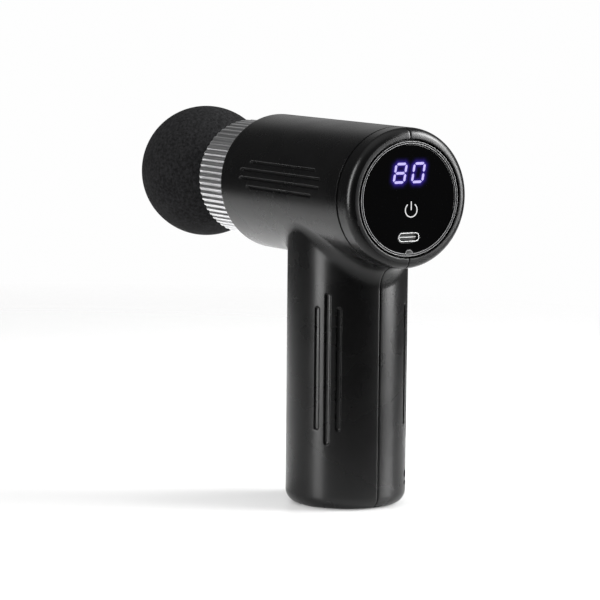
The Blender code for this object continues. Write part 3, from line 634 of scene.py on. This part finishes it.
def moulded_plastic(name, dark, light, roughness, grain=2600, depth=0.00002, spread_by=0.05):
    """Spark-textured moulded plastic: fine grain, slightly uneven sheen."""
    n = Nodes(name)
    fine = n.noise(grain, 2)
    broad = n.noise(60, 3)
    n.link(n.colours(broad, dark, light), "Base Color")
    n.link(n.ranged(broad, roughness - spread_by, roughness + spread_by, 0.3, 0.7), "Roughness")
    n.link(n.bump(fine, depth), "Normal")
    n.set(Specular_IOR_Level=0.4)
    return n.material


def brushed_metal(name, dark, light, roughness, scale=(60, 4000, 4000), depth=0.000004,
                  metallic=1.0):
    """Metal with fine lines along X, or an even grain where scale is even."""
    n = Nodes(name)
    n.set(Metallic=metallic)
    lines = n.noise(1.0, 4, 0.6, n.stretched(scale))
    n.link(n.colours(lines, dark, light), "Base Color")
    n.link(n.ranged(lines, roughness - 0.06, roughness + 0.08, 0.3, 0.7), "Roughness")
    n.link(n.bump(lines, depth), "Normal")
    return n.material


def foam_material():
    n = Nodes("eva_foam")
    n.set(Specular_IOR_Level=0.12)
    pores = n.add("TexVoronoi", Vector=n.place, Scale=1500).outputs["Distance"]
    grain = n.noise(900, 4, 0.65)
    clouds = n.noise(110, 3)
    speckle = n.colours(grain, (0.004, 0.004, 0.0042), (0.017, 0.017, 0.018), 0.35, 0.68)
    n.link(speckle, "Base Color")
    n.link(n.ranged(clouds, 0.82, 0.98, 0.3, 0.7), "Roughness")
    n.link(n.bump(grain, 0.0002, 0.8, Normal=n.bump(pores, 0.00012, 0.5)), "Normal")
    return n.material


def glass_material():
    n = Nodes("panel_glass")
    n.set(Base_Color=(0.0004, 0.0004, 0.0005), IOR=1.5, Specular_IOR_Level=0.42)
    smear = n.noise(35, 3)
    n.link(n.ranged(smear, 0.035, 0.075, 0.3, 0.7), "Roughness")
    return n.material


def glow_material(name, colour, strength):
    """Light spilling into the glass round the lit segments, from the mesh's own falloff."""
    n = Nodes(name)
    n.set(Base_Color=(0.0004, 0.0004, 0.0005), Roughness=0.06, Specular_IOR_Level=0.42)
    n.set(Emission_Color=colour)
    fall = n.add("Attribute")
    fall.attribute_name = "falloff"
    cloud = n.ranged(n.noise(900, 2), 0.85, 1.15, 0.3, 0.7)
    product = n.add("Math")
    product.operation = "MULTIPLY"
    n.tree.links.new(fall.outputs["Fac"], product.inputs[0])
    n.tree.links.new(cloud, product.inputs[1])
    n.link(n.ranged(product.outputs["Value"], 0, strength), "Emission Strength")
    return n.material


def glowing(name, colour, strength, mottle=0.08):
    n = Nodes(name)
    n.set(Base_Color=(0.02, 0.02, 0.02), Emission_Color=colour)
    cells = n.noise(1800, 2)
    n.link(n.ranged(cells, strength * (1 - mottle), strength * (1 + mottle), 0.3, 0.7),
           "Emission Strength")
    return n.material


def rubber_material(name, colour, roughness=0.75):
    n = Nodes(name)
    grain = n.noise(1400, 3)
    lighter = tuple(c * 1.5 for c in colour)
    n.link(n.colours(grain, colour, lighter), "Base Color")
    n.link(n.ranged(grain, roughness - 0.08, roughness + 0.08, 0.3, 0.7), "Roughness")
    n.link(n.bump(grain, 0.00003), "Normal")
    return n.material


PLASTIC = moulded_plastic("soft_touch_black", (0.0013, 0.0013, 0.0014), (0.0022, 0.0022, 0.0023),
                          0.275, 2600, 0.000009, 0.03)
BEZEL = moulded_plastic("bezel_black", (0.014, 0.014, 0.0145), (0.024, 0.024, 0.0245), 0.4,
                        1800, 0.00004)
INNER = moulded_plastic("inner_black", (0.010, 0.010, 0.010), (0.016, 0.016, 0.016), 0.55)
WHITE = moulded_plastic("white_moulding", (0.62, 0.62, 0.6), (0.72, 0.72, 0.7), 0.5)
TRIM = moulded_plastic("trim_grey", (0.26, 0.26, 0.265), (0.31, 0.31, 0.315), 0.38, 2200, 0.000001)
BOARD = moulded_plastic("solder_resist", (0.012, 0.10, 0.045), (0.02, 0.16, 0.07), 0.4, 900)
SLEEVE_BLUE = moulded_plastic("cell_sleeve", (0.03, 0.14, 0.34), (0.05, 0.2, 0.45), 0.35, 500)
ALUMINIUM = brushed_metal("collar_aluminium", (0.70, 0.70, 0.71), (0.78, 0.78, 0.79), 0.34,
                          (60, 2500, 2500), 0.0000006, 0.88)
CASTING = brushed_metal("cast_alloy", (0.36, 0.36, 0.37), (0.5, 0.5, 0.51), 0.55,
                        (900, 900, 900), 0.00002)
STEEL = brushed_metal("ground_steel", (0.42, 0.42, 0.43), (0.6, 0.6, 0.61), 0.28)
BRASS = brushed_metal("turned_brass", (0.6, 0.43, 0.18), (0.76, 0.57, 0.28), 0.35)
COPPER = brushed_metal("enamelled_copper", (0.55, 0.24, 0.12), (0.75, 0.38, 0.2), 0.4)
NICKEL = brushed_metal("bright_nickel", (0.55, 0.53, 0.5), (0.72, 0.7, 0.66), 0.3)
PORT = brushed_metal("port_steel", (0.72, 0.72, 0.72), (0.8, 0.8, 0.8), 0.4,
                     (900, 900, 900), 0.000001, 0.3)
RUBBER = rubber_material("black_rubber", (0.02, 0.02, 0.02))
RED_WIRE = rubber_material("red_insulation", (0.35, 0.015, 0.015), 0.5)
FOAM = foam_material()
GLASS = glass_material()

SLOT_MATERIALS = {
    "shell_black": PLASTIC,
    "inner_plastic": INNER,
    "panel_glass": GLASS,
    "trim_grey": TRIM,
    "collar_aluminium": ALUMINIUM,
    "foam": FOAM,
    "rubber_black": RUBBER,
    "steel": STEEL,
    "cast_aluminium": CASTING,
    "brass": BRASS,
    "copper": COPPER,
    "nickel": NICKEL,
    "cell_wrap": SLEEVE_BLUE,
    "white_plastic": WHITE,
    "board_green": BOARD,
    "wire_red": RED_WIRE,
    "wire_black": RUBBER,
}


def dress_cad_nodes():
    """Every carried-over CAD node takes the material of its slot in the record."""
    for part in frame["record"]["subparts"]:
        obj = frame["nodes"][part["node"]]
        obj.data.materials.clear()
        obj.data.materials.append(SLOT_MATERIALS[part["material_slot"]])
        smooth(obj, 40)


def place(obj, body, node, slot):
    """The piece moves with body and stands for the CAD node; slot is not used."""
    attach(obj, body)
    if node:
        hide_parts(node)
    return obj


# ---- housing


def build_shells():
    for node, side in (("left_housing", -1), ("right_housing", 1)):
        shell = half_shell(node.replace("housing", "shell"), side, [PLASTIC, BEZEL])
        if side > 0:
            cut_eyelet(shell)
        smooth(shell, 40)
        true_cylinders(shell)
        place(shell, "housing", node, "shell_black")


# ---- nose and massage head

COLLAR_RIBS = 60
RIB_DEPTH = 0.65 * MM


def rib_radius(radius, x, turn):
    """Ribbed outside of the collar: flat lands, sloped walls, a chamfer that scallops the ends."""
    outside = (collar_high.z - collar_low.z) / 2
    if radius < outside - 2 * RIB_DEPTH:
        return radius
    phase = (turn * COLLAR_RIBS / TAU) % 1.0
    from_middle = abs(phase - 0.5) * 2
    valley = smoothstep((from_middle - 0.2) / 0.75)
    ribbed = outside - RIB_DEPTH * valley
    in_from_end = min(x - collar_low.x, collar_high.x - x)
    limit = outside - RIB_DEPTH - 0.15 * MM + in_from_end * 1.1
    return min(ribbed, limit)


def build_collar():
    outside = (collar_high.z - collar_low.z) / 2
    bore = 18.6 * MM
    low, high = collar_low.x, collar_high.x
    steps = (0, 0.12, 0.25, 0.4, 0.55, 0.7, 0.85, 1.0, 1.3, 2.2)
    xs = [high - s * MM for s in steps]
    xs += [low + s * MM for s in reversed(steps)]
    outline = [(outside, x) for x in xs]
    outline += [(outside - 1.9 * MM, low), (bore + 0.4 * MM, low), (bore, low + 0.4 * MM)]
    outline += [(bore, high), (outside - 1.9 * MM, high)]
    collar = lathe("ribbed_collar", outline, [ALUMINIUM], COLLAR_RIBS * 16, shape=rib_radius)
    smooth(collar, 50)
    place(collar, "housing", "nose_collar", "collar_aluminium")


def build_nose():
    front, rear = sleeve_low.x, sleeve_high.x
    outside, bore = 18.3 * MM, 16.4 * MM
    flange = (sleeve_high.z - sleeve_low.z) / 2
    flange_front = rear - 2.5 * MM
    mouth = 10.3 * MM
    front_wall = front + 2.2 * MM
    corners = [(flange, rear), (flange, flange_front), (outside, flange_front), (outside, front)]
    corners += [(mouth, front), (mouth, front_wall), (bore, front_wall), (bore, rear)]
    sleeve = lathe("nose_front", rounded(corners, 0.5 * MM), [INNER])
    place(smooth(sleeve, 50), "housing", "nose_sleeve", "inner_plastic")

    hole = 8.3 * MM
    lip = 10.0 * MM
    back = 12.2 * MM
    front = seal_low.x
    shoulder = seal_high.x - 1.5 * MM
    corners = [(back, seal_high.x), (back, shoulder), (lip, shoulder), (lip, front + 0.1 * MM)]
    corners += [(lip - 0.8 * MM, front + 0.6 * MM), (hole, front), (hole, seal_high.x)]
    seal = lathe("plunger_seal", rounded(corners, 0.2 * MM), [RUBBER])
    place(smooth(seal, 50), "housing", "wiper_seal", "rubber_black")


STEM_CORE = 7.0 * MM


def build_ball():
    radius = (ball_high.z - ball_low.z) / 2
    middle = ball_low.x + radius
    bore = STEM_CORE + 0.3 * MM
    bore_end = stem_low.x - 0.3 * MM
    mouth = math.asin(bore / radius)

    def lumpy(r, x, turn):
        """Makes the foam's surface very slightly uneven, and leaves the bore round."""
        if r < bore * 1.05:
            return r
        sway = math.sin(3 * turn + 40 * x) * 0.5 + math.sin(5 * turn - 150 * x) * 0.3
        return r * (1 - 0.0012 * (1 + sway))

    surface = arc((0, middle), radius, math.pi / 2 - mouth - 0.04, -math.pi / 2, 72)
    surface[-1] = (0, middle - radius)
    lip_x = middle + math.sqrt(radius**2 - bore**2)
    outline = [(0, bore_end), (bore, bore_end), (bore, lip_x - 0.4 * MM)]
    outline += [(bore + 0.15 * MM, lip_x - 0.1 * MM)]
    ball = lathe("foam_ball", outline + surface, [FOAM], 144, shape=lumpy)
    place(smooth(ball, 50), "ball", "ball_head", "foam")


def build_stem():
    """The head's plug, with a flange before the plunger and grooves for two grip rings."""
    rear = stem_high.x
    radius, groove_floor = 4.7 * MM, 3.7 * MM
    outline = [(0, rear), (radius - 0.5 * MM, rear), (radius, rear - 0.6 * MM)]
    for ring in ("stem_ring_1", "stem_ring_2"):
        low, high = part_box(ring)
        start, end = high.x + 0.3 * MM, low.x - 0.3 * MM
        outline += [(radius, start), (groove_floor, start), (groove_floor, end), (radius, end)]
    flange = (stem_high.z - stem_low.z) / 2
    rear = piston_low.x - 0.3 * MM
    front = rear - 3.0 * MM
    outline += [(radius, rear + 0.3 * MM), (radius + 0.3 * MM, rear)]
    outline += [(flange - 0.5 * MM, rear), (flange, rear - 0.5 * MM)]
    outline += [(flange, front + 0.5 * MM), (flange - 0.5 * MM, front)]
    outline += [(STEM_CORE, front), (STEM_CORE, stem_low.x), (0, stem_low.x)]
    stem = lathe("head_stem", outline, [INNER], 96)
    place(smooth(stem, 35), "ball", "ball_stem", "inner_plastic")
    for ring in ("stem_ring_1", "stem_ring_2"):
        low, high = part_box(ring)
        outer = (high.z - low.z) / 2
        thick = (high.x - low.x) / 2
        section = arc((outer - thick, (low.x + high.x) / 2), thick, 0, -TAU, 16)[:-1]
        seal = lathe("grip_" + ring, section, [RUBBER], 96)
        place(smooth(seal, 60), "ball", ring, "rubber_black")


WRIST_X = -22.0 * MM
PIN_HOLE_RADIUS = 2.3 * MM
ROD_SLOT_HALF = 3.4 * MM
ROD_SLOT_FRONT = WRIST_X - 6.5 * MM


def build_plunger():
    """Ground steel plunger: socket for the head's stem in front, slot for the rod behind."""
    radius = (piston_high.z - piston_low.z) / 2
    front, rear = piston_low.x, piston_high.x
    socket, socket_end = 5.0 * MM, front + 21.0 * MM
    edge = 0.35 * MM
    outline = [(0, socket_end), (socket, socket_end), (socket, front + 1.5 * edge)]
    outline += [(socket + edge, front + edge / 3), (socket + 1.4 * edge, front)]
    outline += [(radius - edge, front), (radius - edge * 0.3, front + edge * 0.3)]
    outline += [(radius, front + edge), (radius, rear - edge), (radius - edge, rear), (0, rear)]
    plunger = lathe("steel_plunger", outline, [STEEL], 96)
    slot = bmesh.new()
    bmesh.ops.create_cube(slot, size=1)
    reach = 20 * MM
    bmesh.ops.scale(slot, vec=(reach, 2 * reach, 2 * ROD_SLOT_HALF), verts=slot.verts)
    middle = (ROD_SLOT_FRONT + reach / 2, 0, BARREL_HEIGHT)
    bmesh.ops.translate(slot, vec=middle, verts=slot.verts)
    hole = bmesh.new()
    bmesh.ops.create_cone(hole, cap_ends=True, segments=32, radius1=PIN_HOLE_RADIUS,
                          radius2=PIN_HOLE_RADIUS, depth=30 * MM)
    bmesh.ops.translate(hole, vec=(WRIST_X, 0, BARREL_HEIGHT), verts=hole.verts)
    cut_away(plunger, [object_from("rod_slot", slot, []), object_from("pin_hole", hole, [])])
    place(smooth(plunger, 25), "piston", "piston", "steel")


# ---- rear panel

DIGITS = "80"
SEGMENTS = {
    "8": "abcdefg",
    "0": "abcdef",
}
DIGIT_HEIGHT = 7.5 * MM
DIGIT_WIDTH = 5.3 * MM
DIGIT_SLANT = 1.25 / 7.5
DIGIT_PITCH = 7.8 * MM
DIGIT_CENTRE = (-0.25 * MM, 9.3 * MM)
SEGMENT = 0.92 * MM
POWER_CENTRE = (0.75 * MM, -4.06 * MM)
POWER_RADIUS = 2.5 * MM
POWER_STROKE = 0.38 * MM


def flat_piece(name, outlines, x, thickness, materials):
    """Thin plates facing +X; outlines are (y, height over the barrel's axis) loops."""
    bm = bmesh.new()
    for outline in outlines:
        verts = [bm.verts.new((x, y, BARREL_HEIGHT + z)) for y, z in outline]
        face = bm.faces.new(verts)
        face.normal_update()
        if face.normal.x < 0:
            face.normal_flip()
    made = bmesh.ops.extrude_face_region(bm, geom=bm.faces[:])
    moved = [g for g in made["geom"] if isinstance(g, bmesh.types.BMVert)]
    bmesh.ops.translate(bm, vec=(-thickness, 0, 0), verts=moved)
    bmesh.ops.recalc_face_normals(bm, faces=bm.faces)
    return object_from(name, bm, materials)


def segment_outlines(digit, centre):
    """Lit segments of a slanted seven-segment digit, as mitred bars."""
    w, h, s = DIGIT_WIDTH / 2, DIGIT_HEIGHT / 2, SEGMENT
    gap = 0.24 * MM
    inner_w, inner_h = w - s / 2, h - s / 2
    bars = {
        "a": ((-inner_w, inner_h), (inner_w, inner_h)),
        "g": ((-inner_w, 0), (inner_w, 0)),
        "d": ((-inner_w, -inner_h), (inner_w, -inner_h)),
        "f": ((-inner_w, 0), (-inner_w, inner_h)),
        "b": ((inner_w, 0), (inner_w, inner_h)),
        "e": ((-inner_w, -inner_h), (-inner_w, 0)),
        "c": ((inner_w, -inner_h), (inner_w, 0)),
    }
    outlines = []
    for letter in SEGMENTS[digit]:
        start, end = (Vector(p) for p in bars[letter])
        along_it = (end - start).normalized()
        aside = Vector((-along_it.y, along_it.x)) * s / 2
        a, b = start + along_it * gap, end - along_it * gap
        tip = s / 2
        loop = [a, a + along_it * tip + aside, b - along_it * tip + aside, b]
        loop += [b - along_it * tip - aside, a + along_it * tip - aside]
        outlines.append([(centre[0] + p.x + p.y * DIGIT_SLANT, centre[1] + p.y) for p in loop])
    return outlines


def to_edge(point, outline):
    """Distance from a point to an outline."""
    nearest = 1.0
    for k, end in enumerate(outline):
        start, end = Vector(outline[k - 1]), Vector(end)
        span = end - start
        t = min(max((point - start).dot(span) / span.length_squared, 0), 1)
        nearest = min(nearest, (point - start - span * t).length)
    return nearest


def build_glow(outlines, x):
    """A film over the glass whose light falls off with the distance to the segments."""
    ys = [p[0] for outline in outlines for p in outline]
    zs = [p[1] for outline in outlines for p in outline]
    margin, step = 2.0 * MM, 0.22 * MM
    columns = round((max(ys) - min(ys) + 2 * margin) / step)
    rows = round((max(zs) - min(zs) + 2 * margin) / step)
    bm = bmesh.new()
    layer = bm.verts.layers.float.new("falloff")
    made = []
    for r in range(rows + 1):
        line = []
        for c in range(columns + 1):
            point = Vector((min(ys) - margin + c * step, min(zs) - margin + r * step))
            away = min(to_edge(point, outline) for outline in outlines)
            vert = bm.verts.new((x, point.x, BARREL_HEIGHT + point.y))
            vert[layer] = math.exp(-((away / (0.75 * MM)) ** 1.5))
            line.append(vert)
        made.append(line)
    for near, far in zip(made, made[1:]):
        for c in range(columns):
            bm.faces.new((near[c], near[c + 1], far[c + 1], far[c]))
    film = object_from("digit_glow", bm, [glow_material("digit_glow", (0.12, 0.06, 0.9), 0.26)])
    place(film, "housing", None, "panel_glass")


def build_display():
    x = lens_high.x + 0.04 * MM
    outlines = []
    for k, digit in enumerate(DIGITS):
        centre = (DIGIT_CENTRE[0] + (k - 0.5) * DIGIT_PITCH, DIGIT_CENTRE[1])
        outlines += segment_outlines(digit, centre)
    lit = glowing("lit_segments", (0.56, 0.48, 1.0), 0.97)
    digits = flat_piece("level_digits", outlines, x, 0.03 * MM, [lit])
    place(digits, "housing", None, "panel_glass")
    build_glow(outlines, lens_high.x + 0.01 * MM)

    start, end = math.radians(90 + 37), math.radians(90 + 360 - 37)
    outer = arc(POWER_CENTRE, POWER_RADIUS + POWER_STROKE / 2, start, end, 48)
    inner = arc(POWER_CENTRE, POWER_RADIUS - POWER_STROKE / 2, end, start, 48)
    y, z = POWER_CENTRE
    half = POWER_STROKE / 2
    bar = [(y - half, z), (y + half, z), (y + half, z + 3.1 * MM), (y - half, z + 3.1 * MM)]
    # The printed power mark is lit by its own emission, not by the lamps: painted light on the
    # print.
    glowing_print = glowing("printed_white", (0.9, 0.9, 0.9), 0.85)
    power = flat_piece("power_mark", [outer + inner, bar], x, 0.03 * MM, [glowing_print])
    place(power, "housing", None, "panel_glass")


def stadium(centre, half_length, radius, steps):
    x, y = centre
    right = arc((x + half_length, y), radius, -math.pi / 2, math.pi / 2, steps)
    left = arc((x - half_length, y), radius, math.pi / 2, 1.5 * math.pi, steps)
    return right + left


def poly_curve(name, dimensions, lines, closed, bevel, rounding):
    """Curve object data through lines of points, with a round bevel."""
    curve = bpy.data.curves.new(name, "CURVE")
    curve.dimensions = dimensions
    curve.bevel_depth = bevel
    curve.bevel_resolution = rounding
    for line in lines:
        spline = curve.splines.new("POLY")
        spline.points.add(len(line) - 1)
        spline.use_cyclic_u = closed
        for point, co in zip(spline.points, line):
            point.co = (*co, 1)
    return curve


def prism(name, outlines, low, high, bevel, materials):
    """Plate along X between low and high from an edge outline and holes, with small bevels."""
    lines = [[(-z, y, 0) for y, z in outline] for outline in outlines]
    curve = poly_curve(name, "2D", lines, True, bevel, 4)
    curve.fill_mode = "BOTH"
    curve.extrude = (high - low) / 2 - bevel
    curve.offset = -bevel
    middle = Matrix.Translation(((low + high) / 2, 0, BARREL_HEIGHT))
    return drawn_object(name, curve, materials, middle @ Matrix.Rotation(math.pi / 2, 4, "Y"))


def drawn_object(name, curve, materials, turn=Matrix()):
    """Mesh object from a curve, turned into its place."""
    drawn = scene_object(name, curve)
    bpy.context.view_layer.update()
    graph = bpy.context.evaluated_depsgraph_get()
    mesh = bpy.data.meshes.new_from_object(drawn.evaluated_get(graph))
    mesh.transform(turn)
    bpy.data.objects.remove(drawn)
    bm = bmesh.new()
    bm.from_mesh(mesh)
    bpy.data.meshes.remove(mesh)
    weld(bm)
    bmesh.ops.recalc_face_normals(bm, faces=bm.faces)
    return object_from(name, bm, materials)


def tube(name, points, radius, materials):
    """Round bead along a line of points, with closed ends."""
    curve = poly_curve(name, "3D", [points], False, radius, 3)
    curve.use_fill_caps = True
    return drawn_object(name, curve, materials)


USB_MIDDLE = (usb_low.z + usb_high.z) / 2 - BARREL_HEIGHT
USB_HALF_HEIGHT = (usb_high.z - usb_low.z) / 2
USB_STRAIGHT = (usb_high.y - usb_low.y) / 2 - USB_HALF_HEIGHT
TAB = (0, -19.9 * MM)
TAB_RADIUS = 1.6 * MM


def build_lens():
    """Black glass with the USB slot, and a notch at the bottom for the trim ring's tab."""
    radius = min((lens_high.z - lens_low.z) / 2 + 0.02 * MM, 19.45 * MM)
    notch = TAB_RADIUS + 0.3 * MM
    reach = math.acos((radius**2 + TAB[1] ** 2 - notch**2) / (2 * radius * -TAB[1]))
    bottom = -math.pi / 2
    edge = arc((0, 0), radius, bottom + reach, bottom + TAU - reach, 160)
    start = Vector(edge[-1]) - Vector(TAB)
    end = Vector(edge[0]) - Vector(TAB)
    a0, a1 = math.atan2(start.y, start.x), math.atan2(end.y, end.x)
    edge += arc(TAB, notch, a0, a1, 16)[1:-1]
    slot = stadium((0, USB_MIDDLE), USB_STRAIGHT, USB_HALF_HEIGHT + 0.3 * MM, 12)
    lens = prism("panel_glass", [edge, slot], lens_low.x, lens_high.x, 0.12 * MM, [GLASS])
    place(smooth(lens, 5), "housing", "display_lens", "panel_glass")


def build_usb():
    """Steel shell whose inside is painted dark as shade, and the tongue with its line of contacts.
    """
    walls = [stadium((0, USB_MIDDLE), USB_STRAIGHT, USB_HALF_HEIGHT - inset, 12)
             for inset in (0, 0.3 * MM)]
    port = prism("usb_port_shell", walls, usb_low.x, usb_high.x, 0.08 * MM, [PORT, INNER])
    wall = USB_HALF_HEIGHT - 0.22 * MM
    # Faces inside the shell's wall, short of its front lip, take the black inner plastic: painted
    # shade in the port's hollow.
    for face in port.data.polygons:
        centre = face.center
        beside = max(abs(centre.y) - USB_STRAIGHT, 0)
        inside = math.hypot(beside, centre.z - BARREL_HEIGHT - USB_MIDDLE) < wall
        if inside and centre.x < usb_high.x - 0.1 * MM:
            face.material_index = 1
    place(smooth(port, 20), "housing", "usb_shell", "steel")

    tongue_low, tongue_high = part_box("usb_tongue")
    half_width = (tongue_high.y - tongue_low.y) / 2
    half_height = (tongue_high.z - tongue_low.z) / 2
    blade = stadium((0, USB_MIDDLE), half_width - half_height, half_height, 8)
    tongue = flat_piece("usb_blade", [blade], tongue_high.x, tongue_high.x - tongue_low.x, [INNER])
    place(smooth(tongue, 30), "housing", "usb_tongue", "inner_plastic")
    strip = stadium((0, USB_MIDDLE), half_width - 0.4 * MM, 0.13 * MM, 4)
    contacts = flat_piece("usb_contacts", [strip], tongue_high.x + 0.02 * MM, 0.04 * MM, [PORT])
    place(contacts, "housing", None, "nickel")


def build_trim():
    """Ring with two fine raised beads, and the tab at its bottom."""
    inner, outer = 19.75 * MM, (trim_high.z - trim_low.z) / 2
    low, high = trim_low.x, trim_high.x
    bead = 0.13 * MM
    section = [(outer, low), (inner, low)]
    section += arc((inner + bead, high - bead), bead, math.pi, 0, 10)
    section += [(inner + 2 * bead, high - 0.6 * MM), (outer - 2 * bead, high - 0.6 * MM)]
    section += arc((outer - bead, high - bead), bead, math.pi, 0, 10)
    ring = lathe("trim_band", section, [TRIM, INNER], 192)
    # Faces below the beads' crowns, the valley between the beads and the ring's sides, take the
    # black inner plastic: painted shade in the grey ring's recess.
    for face in ring.data.polygons:
        if max(ring.data.vertices[v].co.x for v in face.vertices) < high - bead / 2:
            face.material_index = 1
    tab_outline = arc(TAB, TAB_RADIUS, math.radians(8), math.radians(172), 20)
    tab_outline += [(-1.2 * MM, -20.3 * MM), (1.2 * MM, -20.3 * MM)]
    key = prism("trim_key", [tab_outline], low, high - 0.05 * MM, 0.2 * MM, [BEZEL])
    rim_arc = arc(TAB, TAB_RADIUS - bead, math.radians(4), math.radians(176), 24)
    rim_line = [(high - bead, y, BARREL_HEIGHT + z) for y, z in rim_arc]
    rim = tube("trim_key_rim", rim_line, bead, [TRIM])
    place(smooth(rim, 60), "housing", None, "trim_grey")
    place(smooth(ring, 50), "housing", "trim_ring", "trim_grey")
    place(smooth(key, 30), "housing", None, "trim_grey")


# ---- stage


# The floor's centre in X, and the distances from it between which the floor fades out
FLOOR_X = -0.26
FLOOR_FADE = (0.2, 0.5)


def build_floor():
    """Pale table that fades out into the white surroundings."""
    bm = bmesh.new()
    bmesh.ops.create_circle(bm, cap_ends=True, segments=96, radius=0.9)
    bmesh.ops.translate(bm, vec=(FLOOR_X, 0, -0.05 * MM), verts=bm.verts)
    n = Nodes("pale_table")
    n.set(Base_Color=(0.84, 0.84, 0.84), Roughness=0.22, Specular_IOR_Level=0.35)
    n.set(Emission_Color=(1.0, 1.0, 1.0), Emission_Strength=0.055)
    distance = n.add("VectorMath")
    distance.operation = "DISTANCE"
    distance.inputs[1].default_value = (FLOOR_X, 0, 0)
    n.tree.links.new(n.place, distance.inputs[0])
    n.link(n.ranged(distance.outputs["Value"], 1.0, 0.0, *FLOOR_FADE), "Alpha")
    object_from("floor", bm, [n.material])


def softbox(name, azimuth, distance, height, size, watts):
    """Area light; azimuth is from +X towards -Y, in degrees, and it faces the barrel's middle."""
    light = bpy.data.lights.new(name, "AREA")
    light.shape = "RECTANGLE"
    light.size, light.size_y = size
    light.energy = watts
    obj = scene_object(name, light)
    turn = math.radians(azimuth)
    obj.location = (distance * math.cos(turn), -distance * math.sin(turn), height)
    view = Vector((0, 0, 0.07)) - obj.location
    obj.rotation_euler = view.to_track_quat("-Z", "Y").to_euler()
    return obj


# Soft light areas of the room: direction, where the falloff starts, least and most light
ROOM_LOBES = [
    ((-0.85, 0.47, 0.24), 0.9, 0.065, 0.5),
    ((0.0, 0.0, 1.0), 0.7, 0.0, 0.6),
]


def build_world():
    """White to the eye; to reflections, a dim room that is lighter behind the object."""
    world = bpy.data.worlds.new("studio")
    bpy.context.scene.world = world
    world.use_nodes = True
    tree = world.node_tree
    tree.nodes.clear()
    coords = add_node(tree, "TexCoord").outputs["Generated"]
    lobes = []
    for direction, start, low, high in ROOM_LOBES:
        facing = add_node(tree, "VectorMath")
        facing.operation = "DOT_PRODUCT"
        facing.inputs[1].default_value = Vector(direction).normalized()
        tree.links.new(coords, facing.inputs[0])
        ramp = add_node(tree, "MapRange", Value=facing.outputs["Value"], From_Min=start,
                        From_Max=1.0, To_Min=low, To_Max=high)
        ramp.interpolation_type = "SMOOTHSTEP"
        lobes.append(ramp.outputs["Result"])
    total = add_node(tree, "Math")
    for lobe, socket in zip(lobes, total.inputs):
        tree.links.new(lobe, socket)
    room = add_node(tree, "Background", Color=(1, 1, 1, 1), Strength=total.outputs["Value"])
    seen = add_node(tree, "Background", Color=(1, 1, 1, 1), Strength=0.99)
    ray = add_node(tree, "LightPath")
    mix = add_node(tree, "MixShader", Fac=ray.outputs["Is Camera Ray"])
    tree.links.new(room.outputs["Background"], mix.inputs[1])
    tree.links.new(seen.outputs["Background"], mix.inputs[2])
    add_node(tree, "OutputWorld", Surface=mix.outputs["Shader"])


def build_camera():
    azimuth, elevation, roll = (math.radians(a) for a in (58.46, 6.64, 0.56))
    level = Vector((math.cos(azimuth), math.sin(azimuth), 0))
    behind = Vector((math.sin(azimuth), -math.cos(azimuth), 0))
    back = behind * math.cos(elevation) + Vector((0, 0, math.sin(elevation)))
    upward = back.cross(level)
    right = math.cos(roll) * level + math.sin(roll) * upward
    up = math.cos(roll) * upward - math.sin(roll) * level
    camera = bpy.data.cameras.new("camera")
    camera.lens = 192
    camera.sensor_width = 36
    camera.clip_start = 0.05
    camera.clip_end = 50
    obj = scene_object("camera", camera)
    target = -17.54 * MM * level + Vector((0, 0, 75.09 * MM))
    obj.matrix_world = Matrix((
        (right.x, up.x, back.x, 0),
        (right.y, up.y, back.y, 0),
        (right.z, up.z, back.z, 0),
        (0, 0, 0, 1),
    ))
    obj.location = target + 1.18507 * back
    bpy.context.scene.camera = obj


def shade_metal(lights):
    """Keeps the hard strip lights off the bare metal, which would burn out in them."""
    shaded = bpy.data.collections.new("shaded_metal")
    for name in ("ribbed_collar", "steel_plunger"):
        shaded.objects.link(bpy.data.objects[name])
    for item in shaded.collection_objects:
        item.light_linking.link_state = "EXCLUDE"
    for light in lights:
        light.light_linking.receiver_collection = shaded


def build_stage():
    build_floor()
    build_world()
    build_camera()
    overhead = softbox("top_softbox", 150, 0.25, 1.3, (1.6, 1.6), 15.2)
    overhead.visible_glossy = False
    strips = [
        softbox("left_softbox", 86, 0.95, 0.38, (0.30, 1.05), 10),
        softbox("right_softbox", -55, 0.85, 0.36, (0.40, 0.8), 15.5),
        softbox("back_softbox", -68, 0.70, 0.60, (0.36, 0.36), 4.5),
    ]
    shade_metal(strips)
    view = bpy.context.scene.view_settings
    view.view_transform = "Standard"
    view.look = "None"


dress_cad_nodes()
build_shells()
build_collar()
build_nose()
build_ball()
build_stem()
build_plunger()
build_lens()
build_usb()
build_trim()
build_display()
build_stage()
